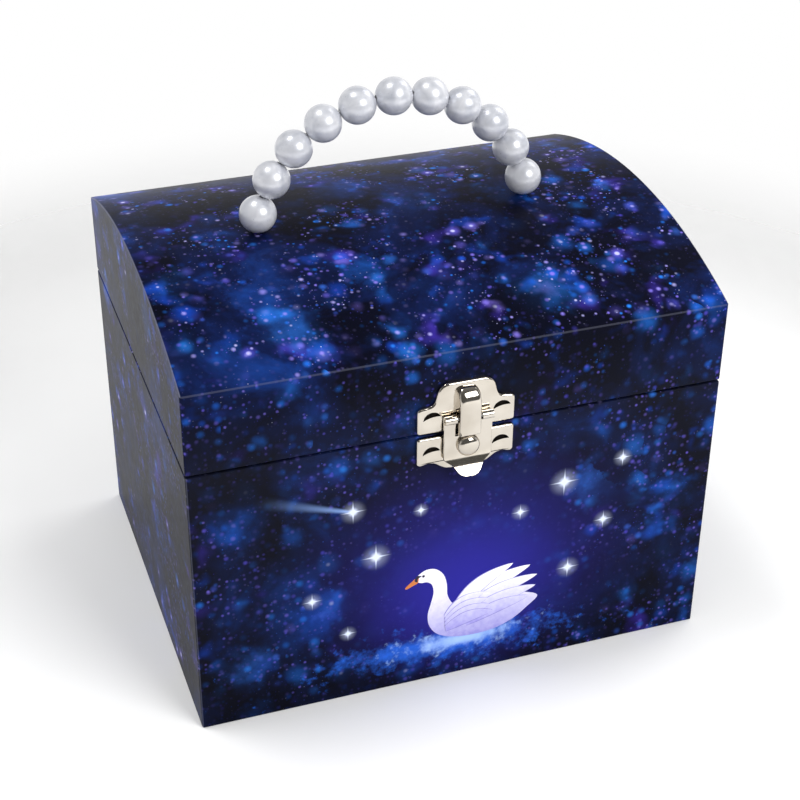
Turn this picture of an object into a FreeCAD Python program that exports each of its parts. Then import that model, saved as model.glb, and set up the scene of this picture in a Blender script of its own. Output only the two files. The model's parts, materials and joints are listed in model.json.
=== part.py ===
"""Ballerina jewellery box: a paper-covered wooden box with a domed lid, a bead handle, a hasp latch,
a lined jewel well, and a wind-up musical movement that turns a dancer. Millimetres, +X right, +Y back,
+Z up, origin at the middle of the underside."""
import FreeCAD, Part
import math
import os
import re

SIZES = {
    # Case
    "box_width": 165.0, "box_depth": 130.0, "seam_height": 92.5, "seam_gap": 0.8,
    "lid_wall_top": 118.8, "lid_rise": 12.5, "board": 4.5, "wrap": 0.5, "corner_round": 1.5,
    "bottom_under": 13.0, "bottom_thick": 4.0, "lining": 0.8, "fit_gap": 0.2,
    # Jewel well and deck
    "deck_front": 3.0, "deck_under": 46.0, "deck_thick": 3.0, "deck_cover": 1.0, "riser": 3.0,
    "floor_pad": 3.0, "divider": 3.0, "divider_rise": 24.0, "cushion_rise": 15.0, "cushion_depth": 30.0,
    "slot_width": 2.0, "slot_depth": 9.0,
    # Lid
    "top_panel": 3.0, "inner_under": 106.0, "inner_thick": 2.0, "mirror_width": 112.0,
    "mirror_height": 80.0, "mirror_thick": 1.8, "mirror_trim": 4.0, "trim_thick": 2.6,
    # Handle
    "handle_radius": 44.4, "handle_centre": 124.75, "bead_diameter": 11.4, "bead_bore": 2.4,
    "wire_diameter": 1.6, "washer_diameter": 6.0, "washer_thick": 0.4, "crimp_diameter": 4.0,
    "crimp_length": 5.0,
    # Hinges
    "hinge_offset": 50.0, "hinge_width": 24.0, "leaf_height": 11.0, "leaf_thick": 0.8,
    "knuckle_radius": 1.8, "hinge_pin_radius": 0.8, "knuckle_part": 8.0, "running_gap": 0.05,
    "nail_radius": 0.7, "nail_head": 1.4, "nail_length": 4.0,
    # Latch
    "plate_thick": 1.4, "plate_width": 30.0, "plate_shoulder": 102.0, "plate_top": 109.2,
    "plate_neck": 18.0, "plate_foot": 82.5, "plate_tip": 80.0, "plate_gap": 0.35, "hood_width": 6.8,
    "hood_low": 92.8, "hood_high": 107.8, "hood_proud": 3.8, "hasp_pin_height": 98.0,
    "hasp_pin_out": 3.2, "hasp_pin_radius": 0.6, "hasp_width": 14.8, "hasp_knuckle": 1.3,
    "hasp_thick": 0.8, "hasp_out": 2.1, "hasp_low": 84.0, "hasp_window": 92.0, "window_width": 7.8,
    "tab_width": 9.6, "tab_low": 78.6, "tab_out": 3.0, "button_diameter": 7.0, "button_height": 88.6,
    "button_proud": 2.4, "catch_radius": 0.4, "catch_width": 4.0, "claw_width": 3.0,
    "hood_shoulder": 2.4,
    # Musical movement
    "barrel_x": -21.6, "movement_y": 30.0, "bed_thick": 3.0, "bed_left": -74.0, "bed_right": 14.0,
    "bed_front": 12.0, "bed_back": 56.0, "wheel_module": 0.8, "great_teeth": 36, "spindle_teeth": 18,
    "wheel_lift": 1.0, "wheel_face": 2.5, "drum_radius": 12.0, "drum_top": 32.0, "barrel_cover": 1.0,
    "crown_teeth": 24, "crown_inner": 8.25, "crown_outer": 11.25, "crown_height": 2.0,
    "pinion_teeth": 8, "pinion_module": 0.8125, "pinion_face": 1.8, "arbor_radius": 1.0,
    "cylinder_height": 37.5, "cylinder_radius": 6.3, "cylinder_right": -41.0, "cylinder_left": -62.0,
    "pin_radius": 0.22, "pin_height": 0.5, "tracks": 18, "pins_per_track": 3, "bearing_thick": 2.0,
    "bearing_width": 7.0, "bearing_right": -39.7, "bearing_left": -70.5, "end_module": 0.5,
    "end_teeth": 30, "end_face": 1.2, "end_wheel_x": -66.0, "worm_radius": 1.6, "worm_core": 0.9,
    "worm_tip": 1.9, "worm_turns": 6, "governor_radius": 0.7, "fan_radius": 4.6, "fan_low": 21.6,
    "fan_rise": 5.0,
    "fan_thick": 0.5, "comb_tip_gap": 0.7, "comb_length": 17.0, "comb_thick": 0.9, "comb_root": 6.0,
    "comb_slot": 0.3, "winding_radius": 2.0, "key_low": 2.0, "key_high": 11.0, "key_width": 24.0,
    "key_thick": 2.6, "key_hub": 3.6, "spring_outer": 10.4, "spring_inner": 4.0, "spring_turns": 7,
    "stop_x": -74.2, "stop_radius": 0.9, "stop_low": 23.0, "stop_top": 105.4, "screw_radius": 1.2,
    "screw_head": 2.3, "screw_head_rise": 1.4,
    # Dancer
    "spindle_radius": 2.0, "collar_radius": 5.0, "collar_bore": 2.05,
    "stand_radius": 8.0, "stand_thick": 2.0, "stand_under": 51.4, "dancer_top": 102.6, "hip_height": 74.0,
    "tutu_radius": 19.0, "tutu_thick": 2.4,
}

BOARD_X = "(box_width/2 - wrap)"
BOARD_Y = "(box_depth/2 - wrap)"
CAVITY_X = "(box_width/2 - wrap - board)"
CAVITY_Y = "(box_depth/2 - wrap - board)"
LINED_X = "(box_width/2 - wrap - board - lining)"
LINED_Y = "(box_depth/2 - wrap - board - lining)"
BASE_TOP = "(seam_height - seam_gap/2)"
LID_LOW = "(seam_height + seam_gap/2)"
FLOOR = "(bottom_under + bottom_thick)"
DECK_TOP = "(deck_under + deck_thick)"
FRONT = "(-box_depth/2)"
BACK = "(box_depth/2)"
BED_TOP = "(bottom_under + bottom_thick + bed_thick)"

X_AXIS = FreeCAD.Vector(1, 0, 0)
Y_AXIS = FreeCAD.Vector(0, 1, 0)
Z_AXIS = FreeCAD.Vector(0, 0, 1)
TURN = {
    "x": FreeCAD.Rotation(Z_AXIS, X_AXIS),
    "y": FreeCAD.Rotation(Z_AXIS, Y_AXIS),
    "z": FreeCAD.Rotation(),
}

PLANES = {"xy": "XY_Plane", "xz": "XZ_Plane", "yz": "YZ_Plane"}

doc = FreeCAD.newDocument("ballerina_jewellery_box")
sheet = doc.addObject("Spreadsheet::Sheet", "Sizes")
nodes = []


def fill_sheet():
    """Write every driving dimension into the sheet under its alias."""
    for row, (alias, number) in enumerate(SIZES.items(), start=1):
        sheet.set(f"A{row}", alias)
        sheet.set(f"B{row}", str(number))
        sheet.setAlias(f"B{row}", alias)
    doc.recompute()


def cells(text):
    """Turn the aliases in an expression into references to the sheet."""
    def reference(match):
        word = match.group(0)
        return f"Sizes.{word}" if word in SIZES else word
    return re.sub(r"[a-z][a-z_]*", reference, text)


def number(text):
    """Work out an expression of aliases as a plain number, for sketches and outlines."""
    return float(sheet.evalExpression(cells(text)))


def bind(obj, **expressions):
    """Bind properties of an object to expressions of the sheet's aliases."""
    for name, text in expressions.items():
        obj.setExpression(name, cells(text))
    return obj


def place(obj, at):
    """Bind the place of an object to three expressions."""
    for axis, text in zip("xyz", at):
        obj.setExpression(f"Placement.Base.{axis}", cells(text))
    return obj


def node(obj, label):
    """Mark an object as one finished piece and name it."""
    obj.Label = label
    nodes.append(obj)
    return obj


def box(name, low, high):
    """Block between two corners, each given as three expressions."""
    obj = doc.addObject("Part::Box", name)
    sizes = [f"({b}) - ({a})" for a, b in zip(low, high)]
    bind(obj, Length=sizes[0], Width=sizes[1], Height=sizes[2])
    return place(obj, low)


def rod(name, radius, length, at, along="z"):
    """Round bar that starts at a point and runs along one axis."""
    obj = doc.addObject("Part::Cylinder", name)
    bind(obj, Radius=radius, Height=length)
    obj.Placement = FreeCAD.Placement(FreeCAD.Vector(), TURN[along])
    return place(obj, at)


def ball(name, radius, at):
    """Sphere about a point."""
    obj = doc.addObject("Part::Sphere", name)
    bind(obj, Radius=radius)
    return place(obj, at)


def cut(name, base, *tools):
    """Take one or more solids away from another."""
    obj = doc.addObject("Part::Cut", name)
    obj.Base = base
    obj.Tool = tools[0] if len(tools) == 1 else fuse(f"{name}_tools", *tools)
    return obj


def bored(name, solid, radius, length, at, along="z"):
    """Solid with one round hole."""
    return cut(name, solid, rod(f"{name}_hole", radius, length, at, along))


def fuse(name, *shapes):
    """Join solids into one."""
    obj = doc.addObject("Part::MultiFuse", name)
    obj.Shapes = list(shapes)
    return obj


def common(name, *shapes):
    """Keep what several solids share."""
    obj = doc.addObject("Part::MultiCommon", name)
    obj.Shapes = list(shapes)
    return obj


def group(name, shapes):
    """Keep equal pieces together as separate solids."""
    obj = doc.addObject("Part::Compound", name)
    obj.Links = list(shapes)
    return obj


def feature(name, shape):
    """Piece whose shape is worked out here from the sheet's values."""
    obj = doc.addObject("Part::Feature", name)
    obj.Shape = shape
    return obj


def rounded(name, base, radius, chosen):
    """Round the edges of a solid that a test picks out."""
    doc.recompute()
    size = number(radius)
    edges = [i for i, edge in enumerate(base.Shape.Edges, start=1) if chosen(edge)]
    obj = doc.addObject("Part::Fillet", name)
    obj.Base = base
    obj.Edges = [(i, size, size) for i in edges]
    return obj


def runs_along(axis):
    """Test for straight edges that run along one axis."""
    def test(edge):
        ends = edge.Vertexes
        span = ends[-1].Point - ends[0].Point
        return len(ends) == 2 and abs(abs(span.dot(axis)) - span.Length) < 1e-6
    return test


def lies_at_y(depth):
    """Test for edges that lie in one plane across the depth."""
    return lambda edge: abs(edge.CenterOfMass.y - depth) < 1e-3


def outline(points):
    """Closed wire through points; a point with a third value bulges the side that leads to it."""
    edges = []
    for (x0, y0, *_), (x1, y1, *bulge) in zip(points, points[1:] + points[:1]):
        start = FreeCAD.Vector(x0, y0, 0)
        end = FreeCAD.Vector(x1, y1, 0)
        if bulge:
            chord = end - start
            middle = (start + end) * 0.5 + FreeCAD.Vector(chord.y, -chord.x, 0).normalize() * bulge[0]
            edges.append(Part.Arc(start, middle, end))
        else:
            edges.append(Part.LineSegment(start, end))
    return edges


def sketch(body, plane, curves, offset="0"):
    """Sketch of given curves on one of a body's own origin planes, moved along that plane's normal."""
    drawn = body.newObject("Sketcher::SketchObject", f"{body.Name}_outline")
    origin = next(f for f in body.Origin.OriginFeatures if f.Role == PLANES[plane])
    drawn.AttachmentSupport = [(origin, "")]
    drawn.MapMode = "FlatFace"
    drawn.setExpression("AttachmentOffset.Base.z", cells(offset))
    drawn.addGeometry(curves, False)
    return drawn


def ring(radius):
    """Full circle about the middle of a sketch."""
    return Part.Circle(FreeCAD.Vector(), Z_AXIS, number(radius))


def pad(body, profile, length, reverse=False):
    """Thicken a sketch."""
    made = body.newObject("PartDesign::Pad", f"{body.Name}_pad")
    made.Profile = profile
    bind(made, Length=length)
    made.Reversed = reverse
    body.Tip = made
    return made


def body_at(name, at):
    """Empty body at a place given by three expressions."""
    return place(doc.addObject("PartDesign::Body", name), at)


def plate(name, plane, points, offset, thick, reverse=False):
    """Flat piece of one outline."""
    body = doc.addObject("PartDesign::Body", name)
    pad(body, sketch(body, plane, outline(points), offset), thick, reverse)
    return body


def ring_of(body, made, count):
    """Repeat a feature evenly around the body's vertical axis."""
    pattern = body.newObject("PartDesign::PolarPattern", f"{body.Name}_ring")
    pattern.Originals = [made]
    axis = next(f for f in body.Origin.OriginFeatures if f.Role == "Z_Axis")
    pattern.Axis = (axis, [""])
    bind(pattern, Occurrences=count)
    body.Tip = pattern
    return pattern


def wheel(name, teeth, module, face, at, turned=0.0, lean=None):
    """Toothed wheel with straight-sided teeth, the first one on +X unless it is turned."""
    body = body_at(name, at)
    radius = number(f"{teeth}*{module}/2")
    step = math.pi * number(module)
    root = radius - 1.15 * number(module)
    tip = radius + 0.8 * number(module)
    half_root, half_tip = 0.24 * step, 0.085 * step
    pad(body, sketch(body, "xy", [Part.Circle(FreeCAD.Vector(), Z_AXIS, root)]), face)
    inside = math.sqrt(root ** 2 - half_root ** 2) - 0.1
    tooth = outline([(inside, -half_root), (tip, -half_tip), (tip, half_tip), (inside, half_root)])
    made = pad(body, sketch(body, "xy", tooth), face)
    ring_of(body, made, teeth)
    spin = FreeCAD.Rotation(Z_AXIS, turned)
    body.Placement = FreeCAD.Placement(FreeCAD.Vector(), (lean or FreeCAD.Rotation()).multiply(spin))
    return place(body, at)


def build_base_case():
    """Four wall boards, the raised bottom board and the printed paper round them."""
    front = box("front_board", (f"-{BOARD_X}", f"-{BOARD_Y}", "0"), (BOARD_X, f"-{CAVITY_Y}", BASE_TOP))
    node(front, "base_front_panel")
    back = box("back_board", (f"-{BOARD_X}", CAVITY_Y, "0"), (BOARD_X, BOARD_Y, BASE_TOP))
    node(back, "base_back_panel")
    left = box("left_board", (f"-{BOARD_X}", f"-{CAVITY_Y}", "0"), (f"-{CAVITY_X}", CAVITY_Y, BASE_TOP))
    node(left, "base_left_panel")
    right = box("right_board", (CAVITY_X, f"-{CAVITY_Y}", "0"), (BOARD_X, CAVITY_Y, BASE_TOP))
    node(right, "base_right_panel")
    low = (f"-{CAVITY_X}", f"-{CAVITY_Y}", "bottom_under")
    floor = box("floor_board", low, (CAVITY_X, CAVITY_Y, FLOOR))
    under = ("barrel_x", "movement_y", "bottom_under")
    key_hole = rod("key_hole", "winding_radius + 1", "bottom_thick", under)
    node(cut("floor_with_hole", floor, key_hole), "bottom_board")
    block = box("base_block", ("-box_width/2", FRONT, "0"), ("box_width/2", BACK, BASE_TOP))
    skin = rounded("base_block_round", block, "corner_round", runs_along(Z_AXIS))
    core = box("base_core", (f"-{BOARD_X}", f"-{BOARD_Y}", "0"), (BOARD_X, BOARD_Y, BASE_TOP))
    node(cut("base_skin", skin, core), "base_wrap")


def build_well():
    """Lining, padded floor, divider and ring cushion of the jewel well."""
    outer = box("lining_outer", (f"-{CAVITY_X}", f"-{CAVITY_Y}", FLOOR), (CAVITY_X, CAVITY_Y, BASE_TOP))
    inner = box("lining_inner", (f"-{LINED_X}", f"-{LINED_Y}", FLOOR), (LINED_X, LINED_Y, BASE_TOP))
    node(cut("lining_sleeve", outer, inner), "base_lining")
    pad_high = f"({FLOOR} + floor_pad)"
    low = (f"-{LINED_X} + fit_gap", f"-{LINED_Y} + fit_gap", FLOOR)
    high = (f"{LINED_X} - fit_gap", "deck_front - fit_gap", pad_high)
    node(box("floor_cushion", low, high), "well_floor_pad")
    low = ("-divider/2", f"-{LINED_Y} + fit_gap", pad_high)
    high = ("divider/2", "deck_front - fit_gap", f"{pad_high} + divider_rise")
    node(box("divider_board", low, high), "well_divider")
    left, right = "divider/2 + 1", f"{LINED_X} - 1"
    front = f"(-{LINED_Y} + 1)"
    top = f"({pad_high} + cushion_rise)"
    foam = box("cushion_block", (left, front, pad_high), (right, f"{front} + cushion_depth", top))
    slots = []
    for index in (1, 2, 3):
        y_slot = f"{front} + cushion_depth*{index}/4"
        low = (left, f"{y_slot} - slot_width/2", f"{top} - slot_depth")
        slots.append(box(f"cushion_slot_{index}", low, (right, f"{y_slot} + slot_width/2", top)))
    node(cut("cushion_slotted", foam, *slots), "ring_cushion")


def build_deck():
    """Deck over the movement, its front riser, its cover and the collar round the dancer's spindle."""
    riser_low = (f"-{LINED_X}", "deck_front", FLOOR)
    node(box("riser_board", riser_low, (LINED_X, "deck_front + riser", "deck_under")), "deck_riser")
    holes = {
        "spindle": ("collar_radius", "0", "movement_y"),
        "stop": ("stop_radius + 0.6", "stop_x", STOP_Y),
    }
    layers = {
        "deck_board": ("deck_under", DECK_TOP),
        "deck_cover": (DECK_TOP, f"({DECK_TOP} + deck_cover)"),
    }
    for label, (low, high) in layers.items():
        slab = box(f"{label}_slab", (f"-{LINED_X}", "deck_front", low), (LINED_X, LINED_Y, high))
        drilled = [rod(f"{label}_{name}", radius, f"{high} - {low}", (x, y, low))
                   for name, (radius, x, y) in holes.items()]
        node(cut(f"{label}_drilled", slab, *drilled), label)
    tall = "deck_thick + deck_cover + 0.6"
    tube = rod("collar_tube", "collar_radius", tall, ("0", "movement_y", "deck_under"))
    bore = rod("collar_hole", "collar_bore", tall, ("0", "movement_y", "deck_under"))
    node(cut("collar_ring", tube, bore), "spindle_collar")


def lid_arc(inset):
    """Radius and middle height of the lid's arched top, moved inwards by an amount."""
    half = number("box_depth/2")
    rise = number("lid_rise")
    radius = (half ** 2 + rise ** 2) / (2 * rise)
    middle = number("lid_wall_top + lid_rise") - radius
    return radius - inset, middle


def lid_prism(name, half_depth, inset, half_length):
    """Solid of the lid's outline seen from its end: straight sides and an arched top."""
    half = number(half_depth)
    low = number(LID_LOW)
    radius, middle = lid_arc(number(inset))
    shoulder = middle + math.sqrt(radius ** 2 - half ** 2)
    crown = middle + radius - shoulder
    points = [(-half, shoulder, crown), (-half, low), (half, low), (half, shoulder)]
    body = doc.addObject("PartDesign::Body", name)
    pad(body, sketch(body, "yz", outline(points), f"-({half_length})"), f"2*({half_length})")
    return body


UNDER_TOP = "wrap + top_panel"


def build_lid():
    """Domed top, paper skin and inner board of the lid."""
    block = lid_prism("lid_block", "box_depth/2", "0", "box_width/2")
    shell = rounded("lid_block_round", block, "corner_round", runs_along(Z_AXIS))
    node(cut("lid_skin", shell, lid_prism("lid_hollow", BOARD_Y, "wrap", BOARD_X)), "lid_wrap")
    dome = lid_prism("lid_dome_block", BOARD_Y, "wrap", BOARD_X)
    under = lid_prism("lid_dome_under", BOARD_Y, UNDER_TOP, BOARD_X)
    node(cut("lid_dome", dome, under), "lid_top_panel")
    build_lid_walls()
    inner_low = (f"-{CAVITY_X} + fit_gap", f"-{CAVITY_Y} + fit_gap", "inner_under")
    inner_high = (f"{CAVITY_X} - fit_gap", f"{CAVITY_Y} - fit_gap", "inner_under + inner_thick")
    node(box("lid_inner_slab", inner_low, inner_high), "lid_inner_board")


def build_lid_walls():
    """Front and back rails of the lid and its two arched ends."""
    top = "lid_wall_top + lid_rise"
    for side, sign in (("front", "-"), ("back", "")):
        near, far = sorted((f"{sign}{BOARD_Y}", f"{sign}{CAVITY_Y}"), key=number)
        block = box(f"lid_{side}_block", (f"-{BOARD_X}", near, LID_LOW), (BOARD_X, far, top))
        limit = lid_prism(f"lid_{side}_limit", BOARD_Y, UNDER_TOP, BOARD_X)
        node(common(f"lid_{side}_shaped", block, limit), f"lid_{side}_rail")
    for side, sign in (("left", "-"), ("right", "")):
        near, far = sorted((f"{sign}{BOARD_X}", f"{sign}{CAVITY_X}"), key=number)
        block = box(f"lid_{side}_block", (near, f"-{CAVITY_Y}", LID_LOW), (far, CAVITY_Y, top))
        limit = lid_prism(f"lid_{side}_limit", CAVITY_Y, UNDER_TOP, BOARD_X)
        node(common(f"lid_{side}_shaped", block, limit), f"lid_{side}_end")


def build_mirror():
    """Mirror under the lid's inner board, held by a narrow trim."""
    half_wide, half_tall = "(mirror_width/2)", "(mirror_height/2)"
    corner = (half_wide, half_tall, "inner_under")
    low = (f"-{half_wide}", f"-{half_tall}", "inner_under - mirror_thick")
    node(box("mirror_glass", low, corner), "mirror")
    wide, tall = "(mirror_width/2 + mirror_trim)", "(mirror_height/2 + mirror_trim)"
    under = "inner_under - trim_thick"
    outer = box("trim_outer", (f"-{wide}", f"-{tall}", under), (wide, tall, "inner_under"))
    inner = box("trim_inner", (f"-{half_wide}", f"-{half_tall}", under), corner)
    node(cut("trim_ring", outer, inner), "mirror_frame")


STOP_Y = "(movement_y - end_module*end_teeth/2 - worm_radius)"
PIN_Y = "(box_depth/2 + knuckle_radius)"


def hinge_leaf(name, middle, edge, far, spans, bore):
    """Leaf of one hinge, from the edge near the pin to its far edge, with knuckles on the given spans."""
    low, high = sorted((edge, far), key=number)
    left, right = f"({middle} - hinge_width/2)", f"({middle} + hinge_width/2)"
    face = f"({BACK} + leaf_thick)"
    joined = [box(f"{name}_leaf", (left, BACK, low), (right, face, high))]
    neck = sorted((edge, "seam_height"), key=number)
    for index, (offset, length) in enumerate(spans):
        near = f"({left} + {offset})"
        start = (near, PIN_Y, "seam_height")
        joined.append(rod(f"{name}_knuckle_{index}", "knuckle_radius", length, start, "x"))
        corner = (f"{near} + {length}", face, neck[1])
        joined.append(box(f"{name}_neck_{index}", (near, BACK, neck[0]), corner))
    hole = rod(f"{name}_bore", bore, "hinge_width", (left, PIN_Y, "seam_height"), "x")
    return cut(f"{name}_bored", fuse(f"{name}_joined", *joined), hole)


def nail(name, x, z):
    """Round-headed nail driven forwards through a hinge leaf into the board."""
    face = f"({BACK} + leaf_thick)"
    shank = rod(f"{name}_shank", "nail_radius", "nail_length", (x, f"{face} - nail_length", z), "y")
    crown = ball(f"{name}_crown", "nail_head", (x, face, z))
    front = box(f"{name}_front", (f"{x} - 2*nail_head", face, f"{z} - 2*nail_head"),
                (f"{x} + 2*nail_head", f"{face} + nail_head/2", f"{z} + 2*nail_head"))
    return fuse(f"{name}_whole", shank, common(f"{name}_dome", crown, front))


def build_hinges():
    """Two stop hinges on the back: base leaves with outer knuckles, lid leaves with the middle one."""
    part = "knuckle_part - running_gap"
    outer_spans = [("0", part), ("2*knuckle_part + running_gap", part)]
    middle_span = [("knuckle_part + running_gap", "knuckle_part - 2*running_gap")]
    lift = "(knuckle_radius + 0.6)"
    pieces = {"base_leaves": [], "lid_leaves": [], "pins": [], "base_nails": [], "lid_nails": []}
    for side, middle in (("left", "-hinge_offset"), ("right", "hinge_offset")):
        start = (f"{middle} - hinge_width/2", PIN_Y, "seam_height")
        pieces["pins"].append(rod(f"{side}_hinge_pin", "hinge_pin_radius", "hinge_width", start, "x"))
        for half, sign, spans, bore in (("base", "-", outer_spans, "hinge_pin_radius"),
                                        ("lid", "+", middle_span, "hinge_pin_radius + running_gap")):
            edge = f"(seam_height {sign} {lift})"
            far = f"({edge} {sign} leaf_height)"
            pieces[f"{half}_leaves"].append(hinge_leaf(f"{half}_{side}", middle, edge, far, spans, bore))
            for column, reach in (("near", "- hinge_width/3"), ("far", "+ hinge_width/3")):
                height = f"({edge} {sign} leaf_height/2)"
                made = nail(f"{half}_nail_{side}_{column}", f"({middle} {reach})", height)
                pieces[f"{half}_nails"].append(made)
    for kind, shapes in pieces.items():
        label = "hinge_pins" if kind == "pins" else f"hinge_{kind}"
        node(group(f"{label}_all", shapes), label)


PLATE_FACE = "(box_depth/2 + plate_thick)"
HASP_BACK = "(box_depth/2 + hasp_out)"
HASP_FACE = "(box_depth/2 + hasp_out + hasp_thick)"
HASP_PIN_Y = "(-box_depth/2 - hasp_pin_out)"


def pierced(name, body, height):
    """Latch plate with the two slots from which its claws are bent."""
    slots = []
    for side, sign in (("left", "-"), ("right", "")):
        x_slot = f"{sign}plate_width*0.36"
        low = (f"{x_slot} - claw_width/2", f"-{PLATE_FACE}", f"{height} - 0.5")
        high = (f"{x_slot} + claw_width/2", FRONT, f"{height} + 0.5")
        slots.append(box(f"{name}_{side}_slot", low, high))
    return cut(f"{name}_pierced", body, *slots)


def build_latch_plates():
    """Upper plate with concave shoulders, lower plate with a scalloped foot, and the catch nib."""
    half, neck = number("plate_width/2"), number("plate_neck/2")
    low = number(f"{LID_LOW} + plate_gap")
    shoulder, top = number("plate_shoulder"), number("plate_top")
    upper = [(-half, low), (half, low), (half, shoulder), (neck, shoulder + 2.4, -1.0),
             (neck - 2.5, top, -0.5), (2.5 - neck, top), (-neck, shoulder + 2.4, -0.5),
             (-half, shoulder, -1.0)]
    body = plate("upper_plate", "xz", upper, "box_depth/2", "plate_thick")
    node(pierced("upper_plate", body, "plate_shoulder - 3.4"), "latch_upper_plate")
    high = number(f"{BASE_TOP} - plate_gap")
    foot, tip = number("plate_foot"), number("plate_tip")
    lower = [(half, high), (-half, high), (-half, foot + 0.8), (1.2 - half, foot - 0.4, 0.35),
             (-neck, foot, -0.3), (3.0 - neck, tip, -0.3), (neck - 3.0, tip), (neck, foot, -0.3),
             (half - 1.2, foot - 0.4, -0.3), (half, foot + 0.8, 0.35)]
    body = plate("lower_plate", "xz", lower, "box_depth/2", "plate_thick")
    node(pierced("lower_plate", body, "plate_foot + 5"), "latch_lower_plate")
    nib_low = ("-catch_width/2", f"-{PLATE_FACE} - catch_radius", "hasp_low + 2")
    nib_high = ("catch_width/2", f"-{PLATE_FACE}", "hasp_low + 2 + 2*catch_radius")
    node(box("catch_nib", nib_low, nib_high), "latch_catch")


def build_latch_hood():
    """Round-shouldered hood over the hasp's hinge, and the pin through it."""
    half = number("hood_width/2")
    low, high = number("hood_low"), number("hood_high")
    bend = number("hood_shoulder")
    bow = bend * (1 - math.sqrt(0.5))
    shape = [(-half, low), (half, low), (half, high - bend), (half - bend, high, bow),
             (bend - half, high), (-half, high - bend, bow)]
    solid = plate("hood_block", "xz", shape, PLATE_FACE, "hood_proud")
    face = -number(f"{PLATE_FACE} + hood_proud")
    smooth = rounded("hood_round", solid, "hood_proud/4", lies_at_y(face))
    seat_low = ("-hood_width", f"-{HASP_BACK} + 0.3", "hood_low")
    seat = box("hood_seat", seat_low, ("hood_width", FRONT, f"{LID_LOW} + plate_gap"))
    start = ("-hasp_width/2", HASP_PIN_Y, "hasp_pin_height")
    bore = rod("hood_bore", "hasp_pin_radius", "hasp_width", start, "x")
    node(cut("hood_bored", smooth, seat, bore), "latch_hood")
    node(rod("hasp_hinge_pin", "hasp_pin_radius", "hasp_width", start, "x"), "latch_pin")


def build_hasp():
    """Hasp that hangs on the pin, its outward finger tab and the button riveted to it."""
    low = ("-hasp_width/2", f"-{HASP_FACE}", "hasp_low")
    leaf = box("hasp_leaf", low, ("hasp_width/2", f"-{HASP_BACK}", "hasp_pin_height"))
    start = ("-hasp_width/2", HASP_PIN_Y, "hasp_pin_height")
    knuckle = rod("hasp_knuckles", "hasp_knuckle", "hasp_width", start, "x")
    window_low = ("-window_width/2", f"{FRONT} - 6", "hasp_window")
    window = box("hasp_opening", window_low, ("window_width/2", FRONT, "hasp_pin_height + 3"))
    bore = rod("hasp_bore", "hasp_pin_radius + running_gap", "hasp_width", start, "x")
    back, face = -number(HASP_BACK), -number(HASP_FACE)
    tip_y, tip_z, root = face - number("tab_out"), number("tab_low"), number("hasp_low + 0.2")
    curl = [(back, root, 0.8), (face, root), (tip_y, tip_z + 0.7, -0.7), (tip_y + 0.7, tip_z)]
    tab = plate("hasp_tab", "yz", curl, "-tab_width/2", "tab_width")
    frame = cut("hasp_open", fuse("hasp_solid", leaf, knuckle), window, bore)
    node(fuse("hasp_whole", frame, tab), "latch_hasp")
    front = f"(-{HASP_FACE} - button_proud)"
    stud = rod("button_stud", "button_diameter/2", "button_proud", ("0", front, "button_height"), "y")
    rim = number(front)
    node(rounded("button_domed", stud, "button_proud/2", lies_at_y(rim)), "latch_button")


HANDLE_STEP = "2*asin(bead_diameter*1.002/(2*handle_radius))"
BEAD_STEPS = range(-5, 6)
LID_CREST = "(lid_wall_top + lid_rise)"
WASHER_LOW = f"({LID_CREST} - wrap - top_panel - washer_thick - fit_gap/4)"


def build_handle():
    """Arch of touching beads on a stiff wire through the lid, held by washers and crimps under it."""
    radius, centre = number("handle_radius"), number("handle_centre")
    step = 2 * math.asin(number("bead_diameter*1.002/(2*handle_radius)"))
    beads = []
    for index in BEAD_STEPS:
        across = f"handle_radius*sin({index}*{HANDLE_STEP})"
        height = f"handle_centre + handle_radius*cos({index}*{HANDLE_STEP})"
        bead = ball(f"bead_{index + 5}", "bead_diameter/2", (across, "0", height))
        bore = doc.addObject("Part::Cylinder", f"bead_bore_{index + 5}")
        bind(bore, Radius="bead_bore/2", Height="bead_diameter*1.1")
        lean = FreeCAD.Rotation(Y_AXIS, 90 + math.degrees(index * step))
        turn = index * step
        middle = FreeCAD.Vector(radius * math.sin(turn), 0, centre + radius * math.cos(turn))
        start = middle - lean.multVec(Z_AXIS) * number("bead_diameter*0.55")
        bore.Placement = FreeCAD.Placement(start, lean)
        beads.append(cut(f"bead_drilled_{index + 5}", bead, bore))
    node(group("bead_string", beads), "handle_beads")
    end = 5.5 * step
    foot = number(f"{WASHER_LOW} - crimp_length")
    top = FreeCAD.Vector(0, 0, centre + radius)
    right = FreeCAD.Vector(radius * math.sin(end), 0, centre + radius * math.cos(end))
    left = FreeCAD.Vector(-right.x, 0, right.z)
    down = FreeCAD.Vector(0, 0, foot - right.z)
    path = Part.Wire([Part.LineSegment(left + down, left).toShape(), Part.Arc(left, top, right).toShape(),
                      Part.LineSegment(right, right + down).toShape()])
    section = Part.Wire(Part.Circle(left + down, Z_AXIS, number("wire_diameter/2")).toShape())
    node(feature("handle_core", path.makePipeShell([section], True, False, 2)), "handle_wire")
    washers, crimps = [], []
    for side, x_leg in (("left", left.x), ("right", right.x)):
        at = (f"{x_leg:.6f}", "0", WASHER_LOW)
        disc = rod(f"{side}_washer_disc", "washer_diameter/2", "washer_thick", at)
        washers.append(bored(f"{side}_washer", disc, "wire_diameter/2", "washer_thick", at))
        at = (f"{x_leg:.6f}", "0", f"{WASHER_LOW} - crimp_length")
        sleeve = rod(f"{side}_crimp_sleeve", "crimp_diameter/2", "crimp_length", at)
        crimps.append(bored(f"{side}_crimp", sleeve, "wire_diameter/2", "crimp_length", at))
    node(group("washer_pair", washers), "handle_washers")
    node(group("crimp_pair", crimps), "handle_crimps")


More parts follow.
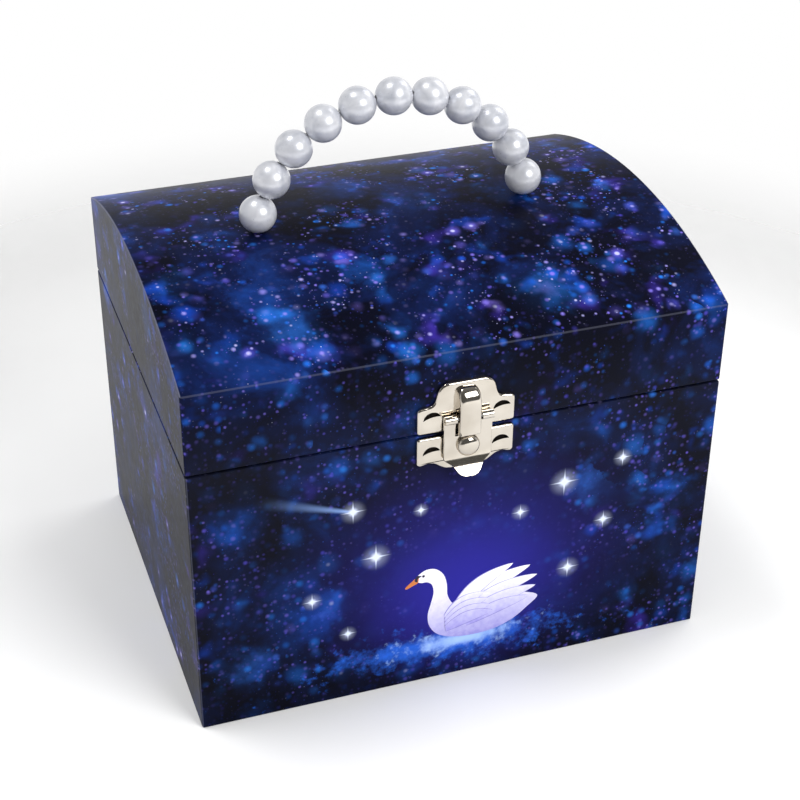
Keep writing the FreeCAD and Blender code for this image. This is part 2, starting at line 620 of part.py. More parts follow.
BARREL = ("barrel_x", "movement_y")
WHEEL_LOW = "(bottom_under + bottom_thick + bed_thick + wheel_lift)"
PINION_X = "(barrel_x - (crown_inner + crown_outer)/2)"


def build_bedplate():
    """Bedplate of the movement with its four screws into the bottom board."""
    slab = box("bed_slab", ("bed_left", "bed_front", FLOOR), ("bed_right", "bed_back", BED_TOP))
    holes = {
        "barrel": ("barrel_x", "movement_y", "winding_radius"),
        "spindle": ("0", "movement_y", "spindle_radius"),
        "governor": ("end_wheel_x", STOP_Y, "governor_radius"),
    }
    tools = [rod(f"bed_{name}_hole", f"{radius} + running_gap", "bed_thick", (x, y, FLOOR))
             for name, (x, y, radius) in holes.items()]
    screws = []
    for index, (x, y) in enumerate((("bed_left + 3", "bed_front + 3"), ("bed_left + 3", "bed_back - 3"),
                                    ("bed_right - 4", "bed_front + 3"), ("bed_right - 4", "bed_back - 3"))):
        tools.append(rod(f"bed_screw_hole_{index}", "screw_radius", "bed_thick", (x, y, FLOOR)))
        shank = rod(f"bed_screw_shank_{index}", "screw_radius", "bed_thick + 2.5", (x, y, f"{FLOOR} - 2.5"))
        head = rod(f"bed_screw_head_{index}", "screw_head", "screw_head_rise", (x, y, BED_TOP))
        low = (f"{x} - screw_head", f"{y} - 0.25", f"{BED_TOP} + screw_head_rise/2")
        high = (f"{x} + screw_head", f"{y} + 0.25", f"{BED_TOP} + screw_head_rise")
        slot = box(f"bed_screw_slot_{index}", low, high)
        screws.append(cut(f"bed_screw_{index}", fuse(f"bed_screw_solid_{index}", shank, head), slot))
    node(cut("bed_drilled", slab, *tools), "movement_bedplate")
    node(group("bed_screws", screws), "movement_screws")


def build_barrel():
    """Great wheel with the hollow spring drum, its cover with crown teeth, and the coiled mainspring."""
    at = (*BARREL, WHEEL_LOW)
    tall = f"(drum_top - {WHEEL_LOW})"
    drum = rod("barrel_drum", "drum_radius", tall, at)
    great = wheel("great_wheel", "great_teeth", "wheel_module", "wheel_face", at)
    room = rod("barrel_room", "drum_radius - 1", f"{tall} - 1", (*BARREL, f"{WHEEL_LOW} + 1"))
    shaft = rod("barrel_bore", "winding_radius + running_gap", tall, at)
    node(cut("barrel_whole", fuse("barrel_solid", great, drum), room, shaft), "spring_barrel")
    body = body_at("cover_disc", (*BARREL, "drum_top"))
    rings = [ring("drum_radius"), ring("winding_radius + running_gap")]
    pad(body, sketch(body, "xy", rings), "barrel_cover")
    step = math.pi * number("crown_inner + crown_outer") / number("crown_teeth")
    base, rise = number("barrel_cover") - 0.1, number("barrel_cover + crown_height")
    tooth = [(-0.24 * step, base), (0.24 * step, base), (0.085 * step, rise), (-0.085 * step, rise)]
    made = pad(body, sketch(body, "yz", outline(tooth), "crown_inner"), "crown_outer - crown_inner")
    ring_of(body, made, "crown_teeth")
    node(body, "barrel_cover")
    node(place(feature("spring_coil", spiral()), (*BARREL, f"{WHEEL_LOW} + 1.5")), "mainspring")


def spiral():
    """Flat strip coiled from the barrel wall in towards the arbor."""
    outer, inner, turns = number("spring_outer"), number("spring_inner"), number("spring_turns")
    samples = int(turns * 16)

    def edge(inset):
        points = []
        for index in range(samples + 1):
            share = index / samples
            radius = outer - inset + (inner - outer) * share
            angle = 2 * math.pi * turns * share
            points.append(FreeCAD.Vector(radius * math.cos(angle), radius * math.sin(angle), 0))
        curve = Part.BSplineCurve()
        curve.interpolate(points)
        return curve.toShape(), points
    (far, far_points), (near, near_points) = edge(0.0), edge(0.35)
    ends = [Part.makeLine(far_points[0], near_points[0]), Part.makeLine(far_points[-1], near_points[-1])]
    strip = Part.Face(Part.Wire(Part.__sortEdges__([far, near, *ends])))
    return strip.extrude(FreeCAD.Vector(0, 0, number(f"drum_top - {WHEEL_LOW} - 2.5")))


def build_cylinder():
    """Pinned cylinder on its arbor with the crown pinion and the end wheel, and its two bearings."""
    axis = ("movement_y", "cylinder_height")
    long = "(cylinder_right - cylinder_left)"
    drum = rod("tune_drum", "cylinder_radius", long, ("cylinder_left", *axis), "x")
    reach = f"{PINION_X} + 2 - bearing_left"
    arbor = rod("tune_arbor", "arbor_radius", reach, ("bearing_left", *axis), "x")
    at = (f"{PINION_X} - pinion_face/2", *axis)
    half_tooth = 180 / number("pinion_teeth")
    pinion = wheel("tune_pinion", "pinion_teeth", "pinion_module", "pinion_face", at, half_tooth, TURN["x"])
    pins = []
    tracks = int(number("tracks"))
    for track in range(tracks):
        for turn in range(int(number("pins_per_track"))):
            angle = 137.5 * (track + tracks * turn)
            start = (f"cylinder_left + {long}*({track} + 0.5)/tracks", *axis)
            pin = rod(f"tune_pin_{track}_{turn}", "pin_radius", "cylinder_radius + pin_height", start)
            pin.Placement = FreeCAD.Placement(FreeCAD.Vector(), FreeCAD.Rotation(X_AXIS, angle))
            pins.append(pin)
    node(fuse("tune_whole", drum, arbor, pinion, *pins), "music_cylinder")
    at = ("end_wheel_x - end_face/2", *axis)
    end = wheel("end_wheel", "end_teeth", "end_module", "end_face", at, 0.0, TURN["x"])
    node(bored("end_wheel_bored", end, "arbor_radius", "end_face", at, "x"), "cylinder_wheel")
    posts = []
    for side, low in (("right", "bearing_right"), ("left", "bearing_left")):
        block = box(f"{side}_post", (low, "movement_y - bearing_width/2", BED_TOP),
                    (f"{low} + bearing_thick", "movement_y + bearing_width/2", "cylinder_height + 3"))
        hole = "arbor_radius + running_gap"
        posts.append(bored(f"{side}_bearing", block, hole, "bearing_thick", (low, *axis), "x"))
    node(group("bearing_pair", posts), "cylinder_bearings")


def build_comb():
    """Tuned steel comb on its block behind the cylinder."""
    tip = "(movement_y + cylinder_radius + pin_height + comb_tip_gap)"
    back = f"({tip} + comb_length)"
    left, right = "(cylinder_left - 0.3)", "(cylinder_right + 0.3)"
    under = "(cylinder_height - comb_thick/2)"
    over = f"({under} + comb_thick)"
    blank = box("comb_blank", (left, tip, under), (right, back, over))
    slots = []
    for index in range(1, int(number("tracks"))):
        x_slot = f"{left} + ({right} - {left})*{index}/tracks"
        low = (f"{x_slot} - comb_slot/2", tip, under)
        high = (f"{x_slot} + comb_slot/2", f"{back} - comb_root", over)
        slots.append(box(f"comb_slot_{index}", low, high))
    screws, holes = [], []
    for index in (1, 3, 5):
        at_x, at_y = f"({left} + ({right} - {left})*{index}/6)", f"({back} - comb_root/2)"
        holes.append(rod(f"comb_hole_{index}", "screw_radius", "comb_thick", (at_x, at_y, under)))
        shank = rod(f"comb_shank_{index}", "screw_radius", "comb_thick + 4", (at_x, at_y, f"{under} - 4"))
        head = rod(f"comb_head_{index}", "screw_head", "screw_head_rise", (at_x, at_y, over))
        screws.append(fuse(f"comb_screw_{index}", shank, head))
    node(cut("comb_cut", blank, *slots, *holes), "comb")
    node(box("comb_support", (left, f"{back} - comb_root", BED_TOP), (right, back, under)), "comb_block")
    node(group("comb_screw_row", screws), "comb_screws")


def build_governor():
    """Upright shaft with a one-start worm, a fan that beats the air, and the bracket over it."""
    at = ("end_wheel_x", STOP_Y)
    pitch = "(pi*end_module)"
    body = body_at("worm_body", (*at, "0"))
    foot = f"({BED_TOP} - bed_thick/2)"
    pad(body, sketch(body, "xy", [ring("governor_radius")], foot), f"deck_under - 1.2 - {foot}")
    start = number(f"cylinder_height - {pitch}*3.25")
    core_circle = sketch(body, "xy", [ring("worm_core")], f"cylinder_height - {pitch}*3.6")
    pad(body, core_circle, f"{pitch}*(worm_turns + 1)")
    core, tip = number("worm_core") - 0.1, number("worm_tip")
    thread = [(core, start - 0.3), (tip, start - 0.12), (tip, start + 0.12), (core, start + 0.3)]
    profile = sketch(body, "xz", outline(thread))
    helix = body.newObject("PartDesign::AdditiveHelix", "worm_thread")
    helix.Profile = profile
    helix.ReferenceAxis = (profile, ["V_Axis"])
    helix.Mode = 0
    bind(helix, Pitch=pitch, Height=f"{pitch}*worm_turns")
    body.Tip = helix
    node(body, "governor_worm")
    low = ("end_wheel_x - fan_radius", f"{STOP_Y} - fan_thick/2", "fan_low")
    high = ("end_wheel_x + fan_radius", f"{STOP_Y} + fan_thick/2", "fan_low + fan_rise")
    hub_at = (*at, "fan_low")
    hub = rod("fan_hub", "governor_radius + 0.6", "fan_rise", hub_at)
    fan = fuse("fan_solid", box("fan_vane", low, high), hub)
    node(bored("fan_bored", fan, "governor_radius", "fan_rise", hub_at), "governor_fan")
    build_bracket(at)


def build_bracket(at):
    """Angle bracket that stands in front of the fan and holds the top of the governor's shaft."""
    post_low = ("end_wheel_x - 2.3", "bed_front + 0.5", BED_TOP)
    post = box("bracket_post", post_low, ("end_wheel_x + 2.3", "bed_front + 2.5", "deck_under - 1"))
    arm_low = ("end_wheel_x - 2.3", "bed_front + 0.5", "deck_under - 2.6")
    arm = box("bracket_arm", arm_low, ("end_wheel_x + 2.3", f"{STOP_Y} + 2.5", "deck_under - 1"))
    hole_at = (*at, "deck_under - 2.6")
    angle = fuse("bracket_solid", post, arm)
    node(bored("bracket_bored", angle, "governor_radius + running_gap", "1.6", hole_at), "governor_bracket")


def build_key():
    """Winding arbor through the barrel and the butterfly key under the box."""
    at = (*BARREL, "key_high")
    top = "drum_top + barrel_cover + 1"
    node(rod("winding_shaft", "winding_radius", f"{top} - key_high", at), "winding_arbor")
    hub = rod("key_hub_bar", "key_hub", "key_high - key_low - 2", (*BARREL, "key_low + 2"))
    lobes = []
    for side, sign in (("left", "-"), ("right", "+")):
        middle = f"(barrel_x {sign} key_width*0.29)"
        start = (middle, "movement_y - key_thick/2", "(key_low + key_high)/2")
        disc = rod(f"key_{side}_lobe", "(key_high - key_low)/2", "key_thick", start, "y")
        lobes.append(bored(f"key_{side}_wing", disc, "(key_high - key_low)/4", "key_thick", start, "y"))
    node(fuse("key_whole", hub, *lobes), "winding_key")


def build_stop():
    """Rod that the closing lid presses down, with a foot beside the fan."""
    shaft = rod("stop_shaft", "stop_radius", "stop_top - stop_low", ("stop_x", STOP_Y, "stop_low"))
    reach = ("end_wheel_x - fan_radius - 0.5", f"{STOP_Y} + stop_radius", "stop_low + 2")
    foot = box("stop_foot", ("stop_x", f"{STOP_Y} - stop_radius", "stop_low"), reach)
    node(fuse("stop_whole", shaft, foot), "stop_rod")


def build_dancer():
    """Spindle with its wheel, round stand, and the dancer with arms rounded over the head."""
    at = ("0", "movement_y")
    foot = f"({BED_TOP} - bed_thick/2)"
    half_tooth = 180 / number("spindle_teeth")
    wheel_at = (*at, WHEEL_LOW)
    gear = wheel("spindle_gear", "spindle_teeth", "wheel_module", "wheel_face", wheel_at, half_tooth)
    shaft = rod("spindle_shaft", "spindle_radius", f"stand_under - {foot}", (*at, foot))
    node(fuse("spindle_whole", gear, shaft), "dancer_spindle")
    node(rod("stand_disc", "stand_radius", "stand_thick", (*at, "stand_under")), "dancer_stand")
    stand_top = "(stand_under + stand_thick)"
    leg = rod("dancer_leg", "1.5", f"hip_height - {stand_top}", (*at, stand_top))
    torso = doc.addObject("Part::Cone", "dancer_torso")
    bind(torso, Radius1="2.4", Radius2="3.6", Height="dancer_top - hip_height - 16")
    place(torso, (*at, "hip_height"))
    neck = rod("dancer_neck", "1.2", "4", (*at, "dancer_top - 16.5"))
    head = ball("dancer_head", "3.2", (*at, "dancer_top - 9.6"))
    arms = doc.addObject("Part::Torus", "dancer_arms")
    bind(arms, Radius1="7", Radius2="0.9")
    arms.Placement = FreeCAD.Placement(FreeCAD.Vector(), TURN["y"])
    place(arms, (*at, "dancer_top - 7.9"))
    node(fuse("dancer_whole", leg, torso, neck, head, arms), "dancer_figure")
    skirt = rod("tutu_disc", "tutu_radius", "tutu_thick", (*at, "hip_height"))
    node(bored("tutu_ring", skirt, "3.4", "tutu_thick", (*at, "hip_height")), "dancer_tutu")


def main():
    """Build every piece, check it and write it out."""
    fill_sheet()
    for build in (build_base_case, build_well, build_deck, build_lid, build_mirror, build_hinges,
                  build_latch_plates, build_latch_hood, build_hasp, build_handle, build_bedplate,
                  build_barrel, build_cylinder, build_comb, build_governor, build_key, build_stop,
                  build_dancer):
        build()
    doc.recompute()
    failed = [obj.Name for obj in doc.Objects if "Invalid" in obj.State or "Error" in obj.State]
    failed += [obj.Label for obj in nodes if obj.Shape.isNull() or not obj.Shape.isValid()]
    if failed:
        raise RuntimeError(f"these did not build: {failed}")
    os.makedirs("parts", exist_ok=True)
    for obj in nodes:
        obj.Shape.exportStep(f"parts/{obj.Label}.step")


main()
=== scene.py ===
"""Looks of the ballerina jewellery box: printed paper case, bead handle, pressed latch and lined inside."""
import json
import logging
import math
import random
from collections.abc import Callable, Sequence
from dataclasses import dataclass
from enum import Enum

import bmesh
import bpy
from bmesh.types import BMEdge, BMesh
from bpy.types import Material, Modifier, Node, NodeSocket, NodeTree, Object
from mathutils import Matrix, Vector


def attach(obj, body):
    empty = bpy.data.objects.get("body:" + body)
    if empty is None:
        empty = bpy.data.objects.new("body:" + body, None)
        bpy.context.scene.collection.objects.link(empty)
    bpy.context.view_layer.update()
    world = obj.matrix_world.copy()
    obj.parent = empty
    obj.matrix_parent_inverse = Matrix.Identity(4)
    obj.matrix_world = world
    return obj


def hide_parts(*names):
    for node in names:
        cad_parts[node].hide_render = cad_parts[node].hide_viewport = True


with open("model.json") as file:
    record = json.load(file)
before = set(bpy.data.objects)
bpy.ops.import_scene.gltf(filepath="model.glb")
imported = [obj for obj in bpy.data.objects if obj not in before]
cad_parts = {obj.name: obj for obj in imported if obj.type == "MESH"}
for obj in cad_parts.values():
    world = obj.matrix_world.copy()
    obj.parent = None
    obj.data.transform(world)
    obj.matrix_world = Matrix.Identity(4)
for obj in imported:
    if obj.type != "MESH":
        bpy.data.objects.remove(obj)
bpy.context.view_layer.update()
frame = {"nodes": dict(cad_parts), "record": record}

MM = 0.001
LOG = logging.getLogger("jewellery_box")

Point = tuple[float, float, float]
Flat = tuple[float, float]


def linear(hex_colour: str) -> tuple[float, float, float, float]:
    """Turn an sRGB hex colour into linear RGBA.

    Args:
        hex_colour: Six hex digits after a hash sign.

    Returns:
        Red, green, blue and alpha as Blender's sockets take them.
    """
    channels = [int(hex_colour[i:i + 2], 16) / 255 for i in (1, 3, 5)]
    bent = [c / 12.92 if c <= 0.04045 else ((c + 0.055) / 1.055) ** 2.4 for c in channels]
    return (*bent, 1.0)


def per(size_mm: float) -> float:
    """Texture scale, per metre, of a pattern that repeats every so many millimetres."""
    return 1.0 / (size_mm * MM)


def add_node(tree: NodeTree, kind: str, inputs: dict | None = None, **settings: object) -> Node:
    """Add one shader node, set its attributes and fill or link its inputs.

    Args:
        tree: The material's or world's node tree.
        kind: Node type without the ShaderNode prefix.
        inputs: Socket name or index to a value, or to what to link from: an output socket, or a node, of
            which the first output in use is taken.
        **settings: Attributes of the node, such as operation.

    Returns:
        The new node.
    """
    node = tree.nodes.new(f"ShaderNode{kind}")
    for name, value in settings.items():
        setattr(node, name, value)
    for key, value in (inputs or {}).items():
        if isinstance(value, Node):
            value = next(socket for socket in value.outputs if socket.enabled)
        if isinstance(value, NodeSocket):
            tree.links.new(value, node.inputs[key])
        else:
            node.inputs[key].default_value = value
    return node


def ramp(tree: NodeTree, factor: Node, stops: Sequence[tuple[float, str]]) -> Node:
    """Add a colour ramp.

    Args:
        tree: The material's node tree.
        factor: What drives the ramp.
        stops: Position and sRGB hex colour of each stop, in order.

    Returns:
        The ramp node.
    """
    node = add_node(tree, "ValToRGB", {"Fac": factor})
    elements = node.color_ramp.elements
    while len(elements) < len(stops):
        elements.new(0.5)
    for element, (position, colour) in zip(elements, stops):
        element.position = position
        element.color = linear(colour)
    return node


@dataclass(frozen=True)
class Finish:
    """A surface finish. Each kind fills in dress(), which wires the shader."""

    name: str

    def make(self) -> Material:
        """Return the material of this finish, made once."""
        known = bpy.data.materials.get(self.name)
        if known:
            return known
        material = bpy.data.materials.new(self.name)
        material.use_nodes = True
        tree = material.node_tree
        shader = tree.nodes["Principled BSDF"]
        place = add_node(tree, "TexCoord").outputs["Object"]
        self.dress(tree, shader, place)
        return material

    def dress(self, tree: NodeTree, shader: Node, place: NodeSocket) -> None:
        """Wire the shader.

        Args:
            tree: The material's node tree.
            shader: Its Principled shader.
            place: Position on the object in metres.
        """
        raise NotImplementedError

    @staticmethod
    def set_inputs(shader: Node, **values: float) -> None:
        """Set constant inputs of the shader; underscores in names stand for spaces."""
        for name, value in values.items():
            shader.inputs[name.replace("_", " ")].default_value = value

    @staticmethod
    def bump(tree: NodeTree, shader: Node, height: NodeSocket, depth_mm: float,
             strength: float = 1.0) -> None:
        """Feed a height pattern to the shader's normal.

        Args:
            tree: The material's node tree.
            shader: Its Principled shader.
            height: The pattern, 0 to 1.
            depth_mm: How deep the pattern is.
            strength: How much of it shows.
        """
        node = add_node(tree, "Bump", {"Height": height, "Strength": strength, "Distance": depth_mm * MM})
        tree.links.new(node.outputs["Normal"], shader.inputs["Normal"])


@dataclass(frozen=True)
class Sparkle:
    """A four-pointed star printed on the front."""

    x_mm: float
    z_mm: float
    reach_mm: float


@dataclass(frozen=True)
class DotLayer:
    """Printed dots of one size: their cell in millimetres, and their radius and soft rim as shares of it.

    The gain and the shares sparse and loose say how many show, and the dyes say in which colours. Layers of
    the same seed and cell lie on the same spots, such as a halo and its core. A ragged layer's dots are torn
    into small clouds.
    """

    seed: int
    cell_mm: float
    radius: float
    soft: float
    gain: float
    sparse: float = 0.0
    loose: float = 0.0
    dyes: Flat = (0.0, 1.0)
    blend: str = "MIX"
    ragged_mm: float = 0.0


@dataclass(frozen=True)
class Haze:
    """A soft printed glow on the front: centre, reach, colour, strength and how ragged its rim is."""

    centre_mm: Flat
    reach_mm: Flat
    tint: str
    level: float
    ragged: float
    grain_mm: float


@dataclass(frozen=True)
class NightSkyPaper(Finish):
    """Offset-printed art paper, satin laminated: deep ink under a film whose sheen greys at a low angle."""

    ink: str = "#06070f"
    cloud_low: str = "#090b1c"
    cloud_mid: str = "#0f1c48"
    cloud_high: str = "#194092"
    star: str = "#dce6ff"
    # Pale fold-edge colour: partly rubbed paper, partly a painted highlight on the folds.
    wear_and_highlight: str = "#7c7f92"
    front_y_mm: float = -64.3
    # Share of the print on the walls, to the left and on the ends; the dimmer walls and left end are partly
    # painted shade.
    wall_share: float = 0.46
    left_shade_share: float = 0.72
    end_share: float = 0.58
    end_x_mm: float = 81.9
    top_ends_mm: Flat = (112.0, 122.0)
    left_shade_ends_mm: Flat = (-75.0, 60.0)
    cloud_mm: float = 34.0
    swarm_mm: float = 18.0
    tear_mm: float = 6.0
    film_mm: float = 2.2
    nebulae: tuple[tuple[float, str], ...] = ((12.0, "#1a55e0"), (16.0, "#4a35c0"))
    dots: tuple[DotLayer, ...] = (
        DotLayer(6, 27.0, 0.50, 0.50, 1.3, 0.25, 0.10, (0.0, 0.30), "SCREEN", 11.0),
        DotLayer(6, 27.0, 0.20, 0.20, 1.5, 0.25, 0.10, (0.25, 0.70), "SCREEN", 11.0),
        DotLayer(0, 12.0, 0.46, 0.46, 1.0, 0.40, 0.04, (0.0, 0.24), "SCREEN", 4.0),
        DotLayer(1, 7.4, 0.46, 0.46, 1.0, 0.45, 0.06, (0.0, 0.62), "SCREEN", 2.5),
        DotLayer(2, 4.4, 0.40, 0.38, 1.05, 0.40, 0.06, (0.0, 0.75), "SCREEN"),
        DotLayer(3, 2.9, 0.36, 0.32, 1.20, 0.35, 0.08, (0.1, 0.85)),
        DotLayer(4, 1.9, 0.35, 0.30, 1.25, 0.45, 0.08, (0.2, 0.90)),
        DotLayer(5, 1.0, 0.27, 0.20, 1.00, 0.55, 0.10, (0.3, 0.95)),
        DotLayer(0, 12.0, 0.09, 0.08, 1.6, 0.40, 0.05, (0.75, 1.0)),
        DotLayer(1, 7.4, 0.15, 0.13, 1.8, 0.45, 0.08, (0.6, 1.0)),
    )
    hazes: tuple[Haze, ...] = (
        Haze((4.0, 42.0), (66.0, 52.0), "#222070", 0.96, 0.10, 22.0),
        Haze((2.0, 32.0), (40.0, 34.0), "#2d299c", 0.75, 0.12, 16.0),
        Haze((-4.0, 13.0), (44.0, 7.5), "#2a6ae4", 0.85, 0.75, 4.5),
        Haze((2.0, 13.4), (22.0, 4.2), "#a8c8fa", 0.95, 0.70, 3.5),
    )
    dyes: tuple[tuple[float, str], ...] = (
        (0.0, "#1450dc"), (0.24, "#2682f2"), (0.38, "#4f49c8"), (0.62, "#7f70dc"), (0.82, "#aaa4ee"),
        (1.0, "#e6ecff"),
    )
    comet: str = "#8fb2f4"
    comet_head: Flat = (-34.0, 70.0)
    comet_tail: Flat = (-64.0, 80.0)
    comet_width: float = 3.4
    sparkles: tuple[Sparkle, ...] = (
        Sparkle(-34, 70, 4.6), Sparkle(-27, 52, 5.4), Sparkle(-47, 40, 3.6), Sparkle(33, 66, 5.6),
        Sparkle(47, 49, 3.8), Sparkle(36, 33, 4.4), Sparkle(19, 58, 3.4), Sparkle(52, 71, 3.6),
        Sparkle(-13, 66, 2.8), Sparkle(-36, 25, 3.2),
    )

    def dress(self, tree: NodeTree, shader: Node, place: NodeSocket) -> None:
        """Wire clouds, star dust, the front glow with its stars, and the film over them.

        Args:
            tree: The material's node tree.
            shader: Its Principled shader.
            place: Position on the object in metres.
        """
        sky = self.star_field(tree, place)
        sky = self.front_picture(tree, place, sky)
        # Pale lines along the folds: partly rubbed paper, partly painted highlight.
        worn_and_highlit = self.edge_wear_and_highlight(tree, sky)
        tree.links.new(worn_and_highlit, shader.inputs["Base Color"])
        # The film is rolled on warm: a faint orange-peel of a few millimetres shows only in the sheen.
        peel = add_node(tree, "TexNoise", {"Vector": place, "Scale": per(self.film_mm), "Detail": 3.0})
        film = add_node(tree, "MapRange", {"Value": peel, "To Min": 0.30, "To Max": 0.40})
        tree.links.new(film.outputs["Result"], shader.inputs["Roughness"])
        self.bump(tree, shader, peel.outputs["Fac"], 0.012)
        # Satin film scatters little light head on and a grey haze at a low angle.
        self.set_inputs(shader, IOR=1.45, Specular_IOR_Level=0.034)

    def star_field(self, tree: NodeTree, place: NodeSocket) -> NodeSocket:
        """Clouds of blue and violet with dots of several sizes, thickest where the clouds are.

        Args:
            tree: The material's node tree.
            place: Position on the object in metres.

        Returns:
            The colour of the sky.
        """
        cloud = add_node(tree, "TexNoise", {"Vector": place, "Scale": per(self.cloud_mm), "Detail": 6.0,
                                            "Roughness": 0.6, "Distortion": 0.5})
        blue = ramp(tree, cloud, [(0.0, self.ink), (0.45, self.cloud_low), (0.58, self.cloud_mid),
                                  (0.74, self.cloud_high)])
        swarm = add_node(tree, "TexNoise", {"Vector": place, "Scale": per(self.swarm_mm), "Detail": 3.0,
                                            "Distortion": 0.4})
        # The clouds dim and the stars thin on the walls and towards the left: partly the print's layout,
        # partly painted shade.
        full = self.print_and_shade_share(tree, place)
        crowded = add_node(tree, "MapRange", {"Value": swarm, "From Min": 0.44, "From Max": 0.58,
                                              "To Max": full}, interpolation_type="SMOOTHSTEP")
        grain = add_node(tree, "TexNoise", {"Vector": place, "Scale": per(self.tear_mm), "Detail": 4.0,
                                            "Roughness": 0.6})
        wobble = add_node(tree, "VectorMath", {0: grain.outputs["Color"], 1: (0.5, 0.5, 0.5)},
                          operation="SUBTRACT")
        dim = add_node(tree, "Mix", {"Factor": full, "A": linear(self.ink), "B": blue}, data_type="RGBA")
        colour = dim.outputs["Result"]
        for seed, (size, tint) in enumerate(self.nebulae):
            shift = add_node(tree, "VectorMath", {0: place, 1: (0.9 + seed, 0.4, 0.2 * seed)})
            puff = add_node(tree, "TexNoise", {"Vector": shift, "Scale": per(size), "Detail": 2.5})
            lit = add_node(tree, "MapRange", {"Value": puff, "From Min": 0.56, "From Max": 0.80,
                                              "To Max": 0.75}, interpolation_type="SMOOTHSTEP")
            here = add_node(tree, "Math", {0: lit, 1: crowded}, operation="MULTIPLY")
            mix = add_node(tree, "Mix", {"Factor": here, "A": colour, "B": linear(tint)}, data_type="RGBA",
                           blend_type="SCREEN")
            colour = mix.outputs["Result"]
        for layer in self.dots:
            shift = add_node(tree, "VectorMath",
                             {0: place, 1: [part * layer.seed for part in (0.37, 0.11, 0.23)]})
            torn = add_node(tree, "VectorMath", {0: wobble, 1: [layer.ragged_mm * MM] * 3, 2: shift},
                            operation="MULTIPLY_ADD")
            cells = add_node(tree, "TexVoronoi", {"Vector": torn, "Scale": per(layer.cell_mm),
                                                  "Randomness": 0.85})
            edge = add_node(tree, "MapRange", {"Value": cells, "From Min": layer.radius,
                                               "From Max": layer.radius - layer.soft},
                            interpolation_type="SMOOTHSTEP")
            pick = add_node(tree, "SeparateColor", {"Color": cells.outputs["Color"]})
            kept = add_node(tree, "MapRange", {"Value": pick.outputs["Red"], "From Min": layer.sparse,
                                               "From Max": 1.0, "To Max": layer.gain})
            crowd = add_node(tree, "MapRange", {"Value": crowded, "To Min": layer.loose})
            keep = add_node(tree, "Math", {0: kept, 1: crowd}, operation="MULTIPLY")
            level = add_node(tree, "Math", {0: keep, 1: edge}, operation="MULTIPLY", use_clamp=True)
            shade = add_node(tree, "MapRange", {"Value": pick.outputs["Green"], "To Min": layer.dyes[0],
                                                "To Max": layer.dyes[1]})
            dye = ramp(tree, shade, self.dyes)
            mix = add_node(tree, "Mix", {"Factor": level, "A": colour, "B": dye}, data_type="RGBA",
                           blend_type=layer.blend)
            colour = mix.outputs["Result"]
        return colour

    def print_and_shade_share(self, tree: NodeTree, place: NodeSocket) -> NodeSocket:
        """How full the print is: most on the lid's top, less on ends and long walls, least to the left. Its
        fall down the walls and to the left is partly painted shade.

        Args:
            tree: The material's node tree.
            place: Position on the object in metres.

        Returns:
            Share of the stars and clouds that show.
        """
        (z_low, z_high), (left, right) = self.top_ends_mm, self.left_shade_ends_mm
        axes = add_node(tree, "SeparateXYZ", {"Vector": place})
        rise = add_node(tree, "MapRange", {"Value": axes.outputs["Z"], "From Min": z_low * MM,
                                           "From Max": z_high * MM, "To Min": self.wall_share,
                                           "To Max": 1.0}, interpolation_type="SMOOTHSTEP")
        side = add_node(tree, "MapRange", {"Value": axes.outputs["X"], "From Min": left * MM,
                                           "From Max": right * MM, "To Min": self.left_shade_share,
                                           "To Max": 1.0})
        both = add_node(tree, "Math", {0: rise, 1: side}, operation="MULTIPLY")
        out = add_node(tree, "Math", {0: axes.outputs["X"]}, operation="ABSOLUTE")
        end = add_node(tree, "Math", {0: out, 1: self.end_x_mm * MM}, operation="GREATER_THAN")
        ends = add_node(tree, "Math", {0: end, 1: self.end_share}, operation="MULTIPLY")
        most = add_node(tree, "Math", {0: both, 1: ends}, operation="MAXIMUM")
        return most.outputs["Value"]

    def front_picture(self, tree: NodeTree, place: NodeSocket, sky: NodeSocket) -> NodeSocket:
        """Indigo glow, ground mist, a comet and four-pointed stars on the front wall only.

        Args:
            tree: The material's node tree.
            place: Position on the object in metres.
            sky: The sky's colour.

        Returns:
            The colour with the front picture in it.
        """
        axes = add_node(tree, "SeparateXYZ", {"Vector": place})
        front = add_node(tree, "Math", {0: axes.outputs["Y"], 1: self.front_y_mm * MM},
                         operation="LESS_THAN")
        lights = [(self.haze_light(tree, place, haze), haze.tint) for haze in self.hazes]
        lights.append((self.comet_light(tree, axes), self.comet))
        lights += [(self.sparkle_light(tree, axes, sparkle), self.star) for sparkle in self.sparkles]
        colour = sky
        for light, tint in lights:
            here = add_node(tree, "Math", {0: light, 1: front}, operation="MULTIPLY")
            mix = add_node(tree, "Mix", {"Factor": here, "A": colour, "B": linear(tint)}, data_type="RGBA",
                           blend_type="MIX")
            colour = mix.outputs["Result"]
        return colour

    @staticmethod
    def haze_light(tree: NodeTree, place: NodeSocket, haze: Haze) -> NodeSocket:
        """Brightness of one glow, full in the middle and torn at the rim by a noise.

        Args:
            tree: The material's node tree.
            place: Position on the object in metres.
            haze: The glow.

        Returns:
            Its brightness, 0 to its level.
        """
        (x, z), (wide, tall) = haze.centre_mm, haze.reach_mm
        shape = add_node(tree, "Mapping", {"Vector": place, "Location": (-x / wide, 0.0, -z / tall),
                                           "Scale": (per(wide), 0.0, per(tall))})
        away = add_node(tree, "VectorMath", {0: shape}, operation="LENGTH")
        torn = add_node(tree, "TexNoise", {"Vector": place, "Scale": per(haze.grain_mm), "Detail": 5.0,
                                           "Roughness": 0.62})
        rough = add_node(tree, "MapRange", {"Value": torn, "From Min": 0.25, "From Max": 0.75,
                                            "To Min": 1 - haze.ragged, "To Max": 1 + haze.ragged})
        far = add_node(tree, "Math", {0: away, 1: rough}, operation="MULTIPLY")
        fade = add_node(tree, "MapRange", {"Value": far, "From Min": 1.0, "From Max": 0.0,
                                           "To Max": haze.level}, interpolation_type="SMOOTHSTEP")
        return fade.outputs["Result"]

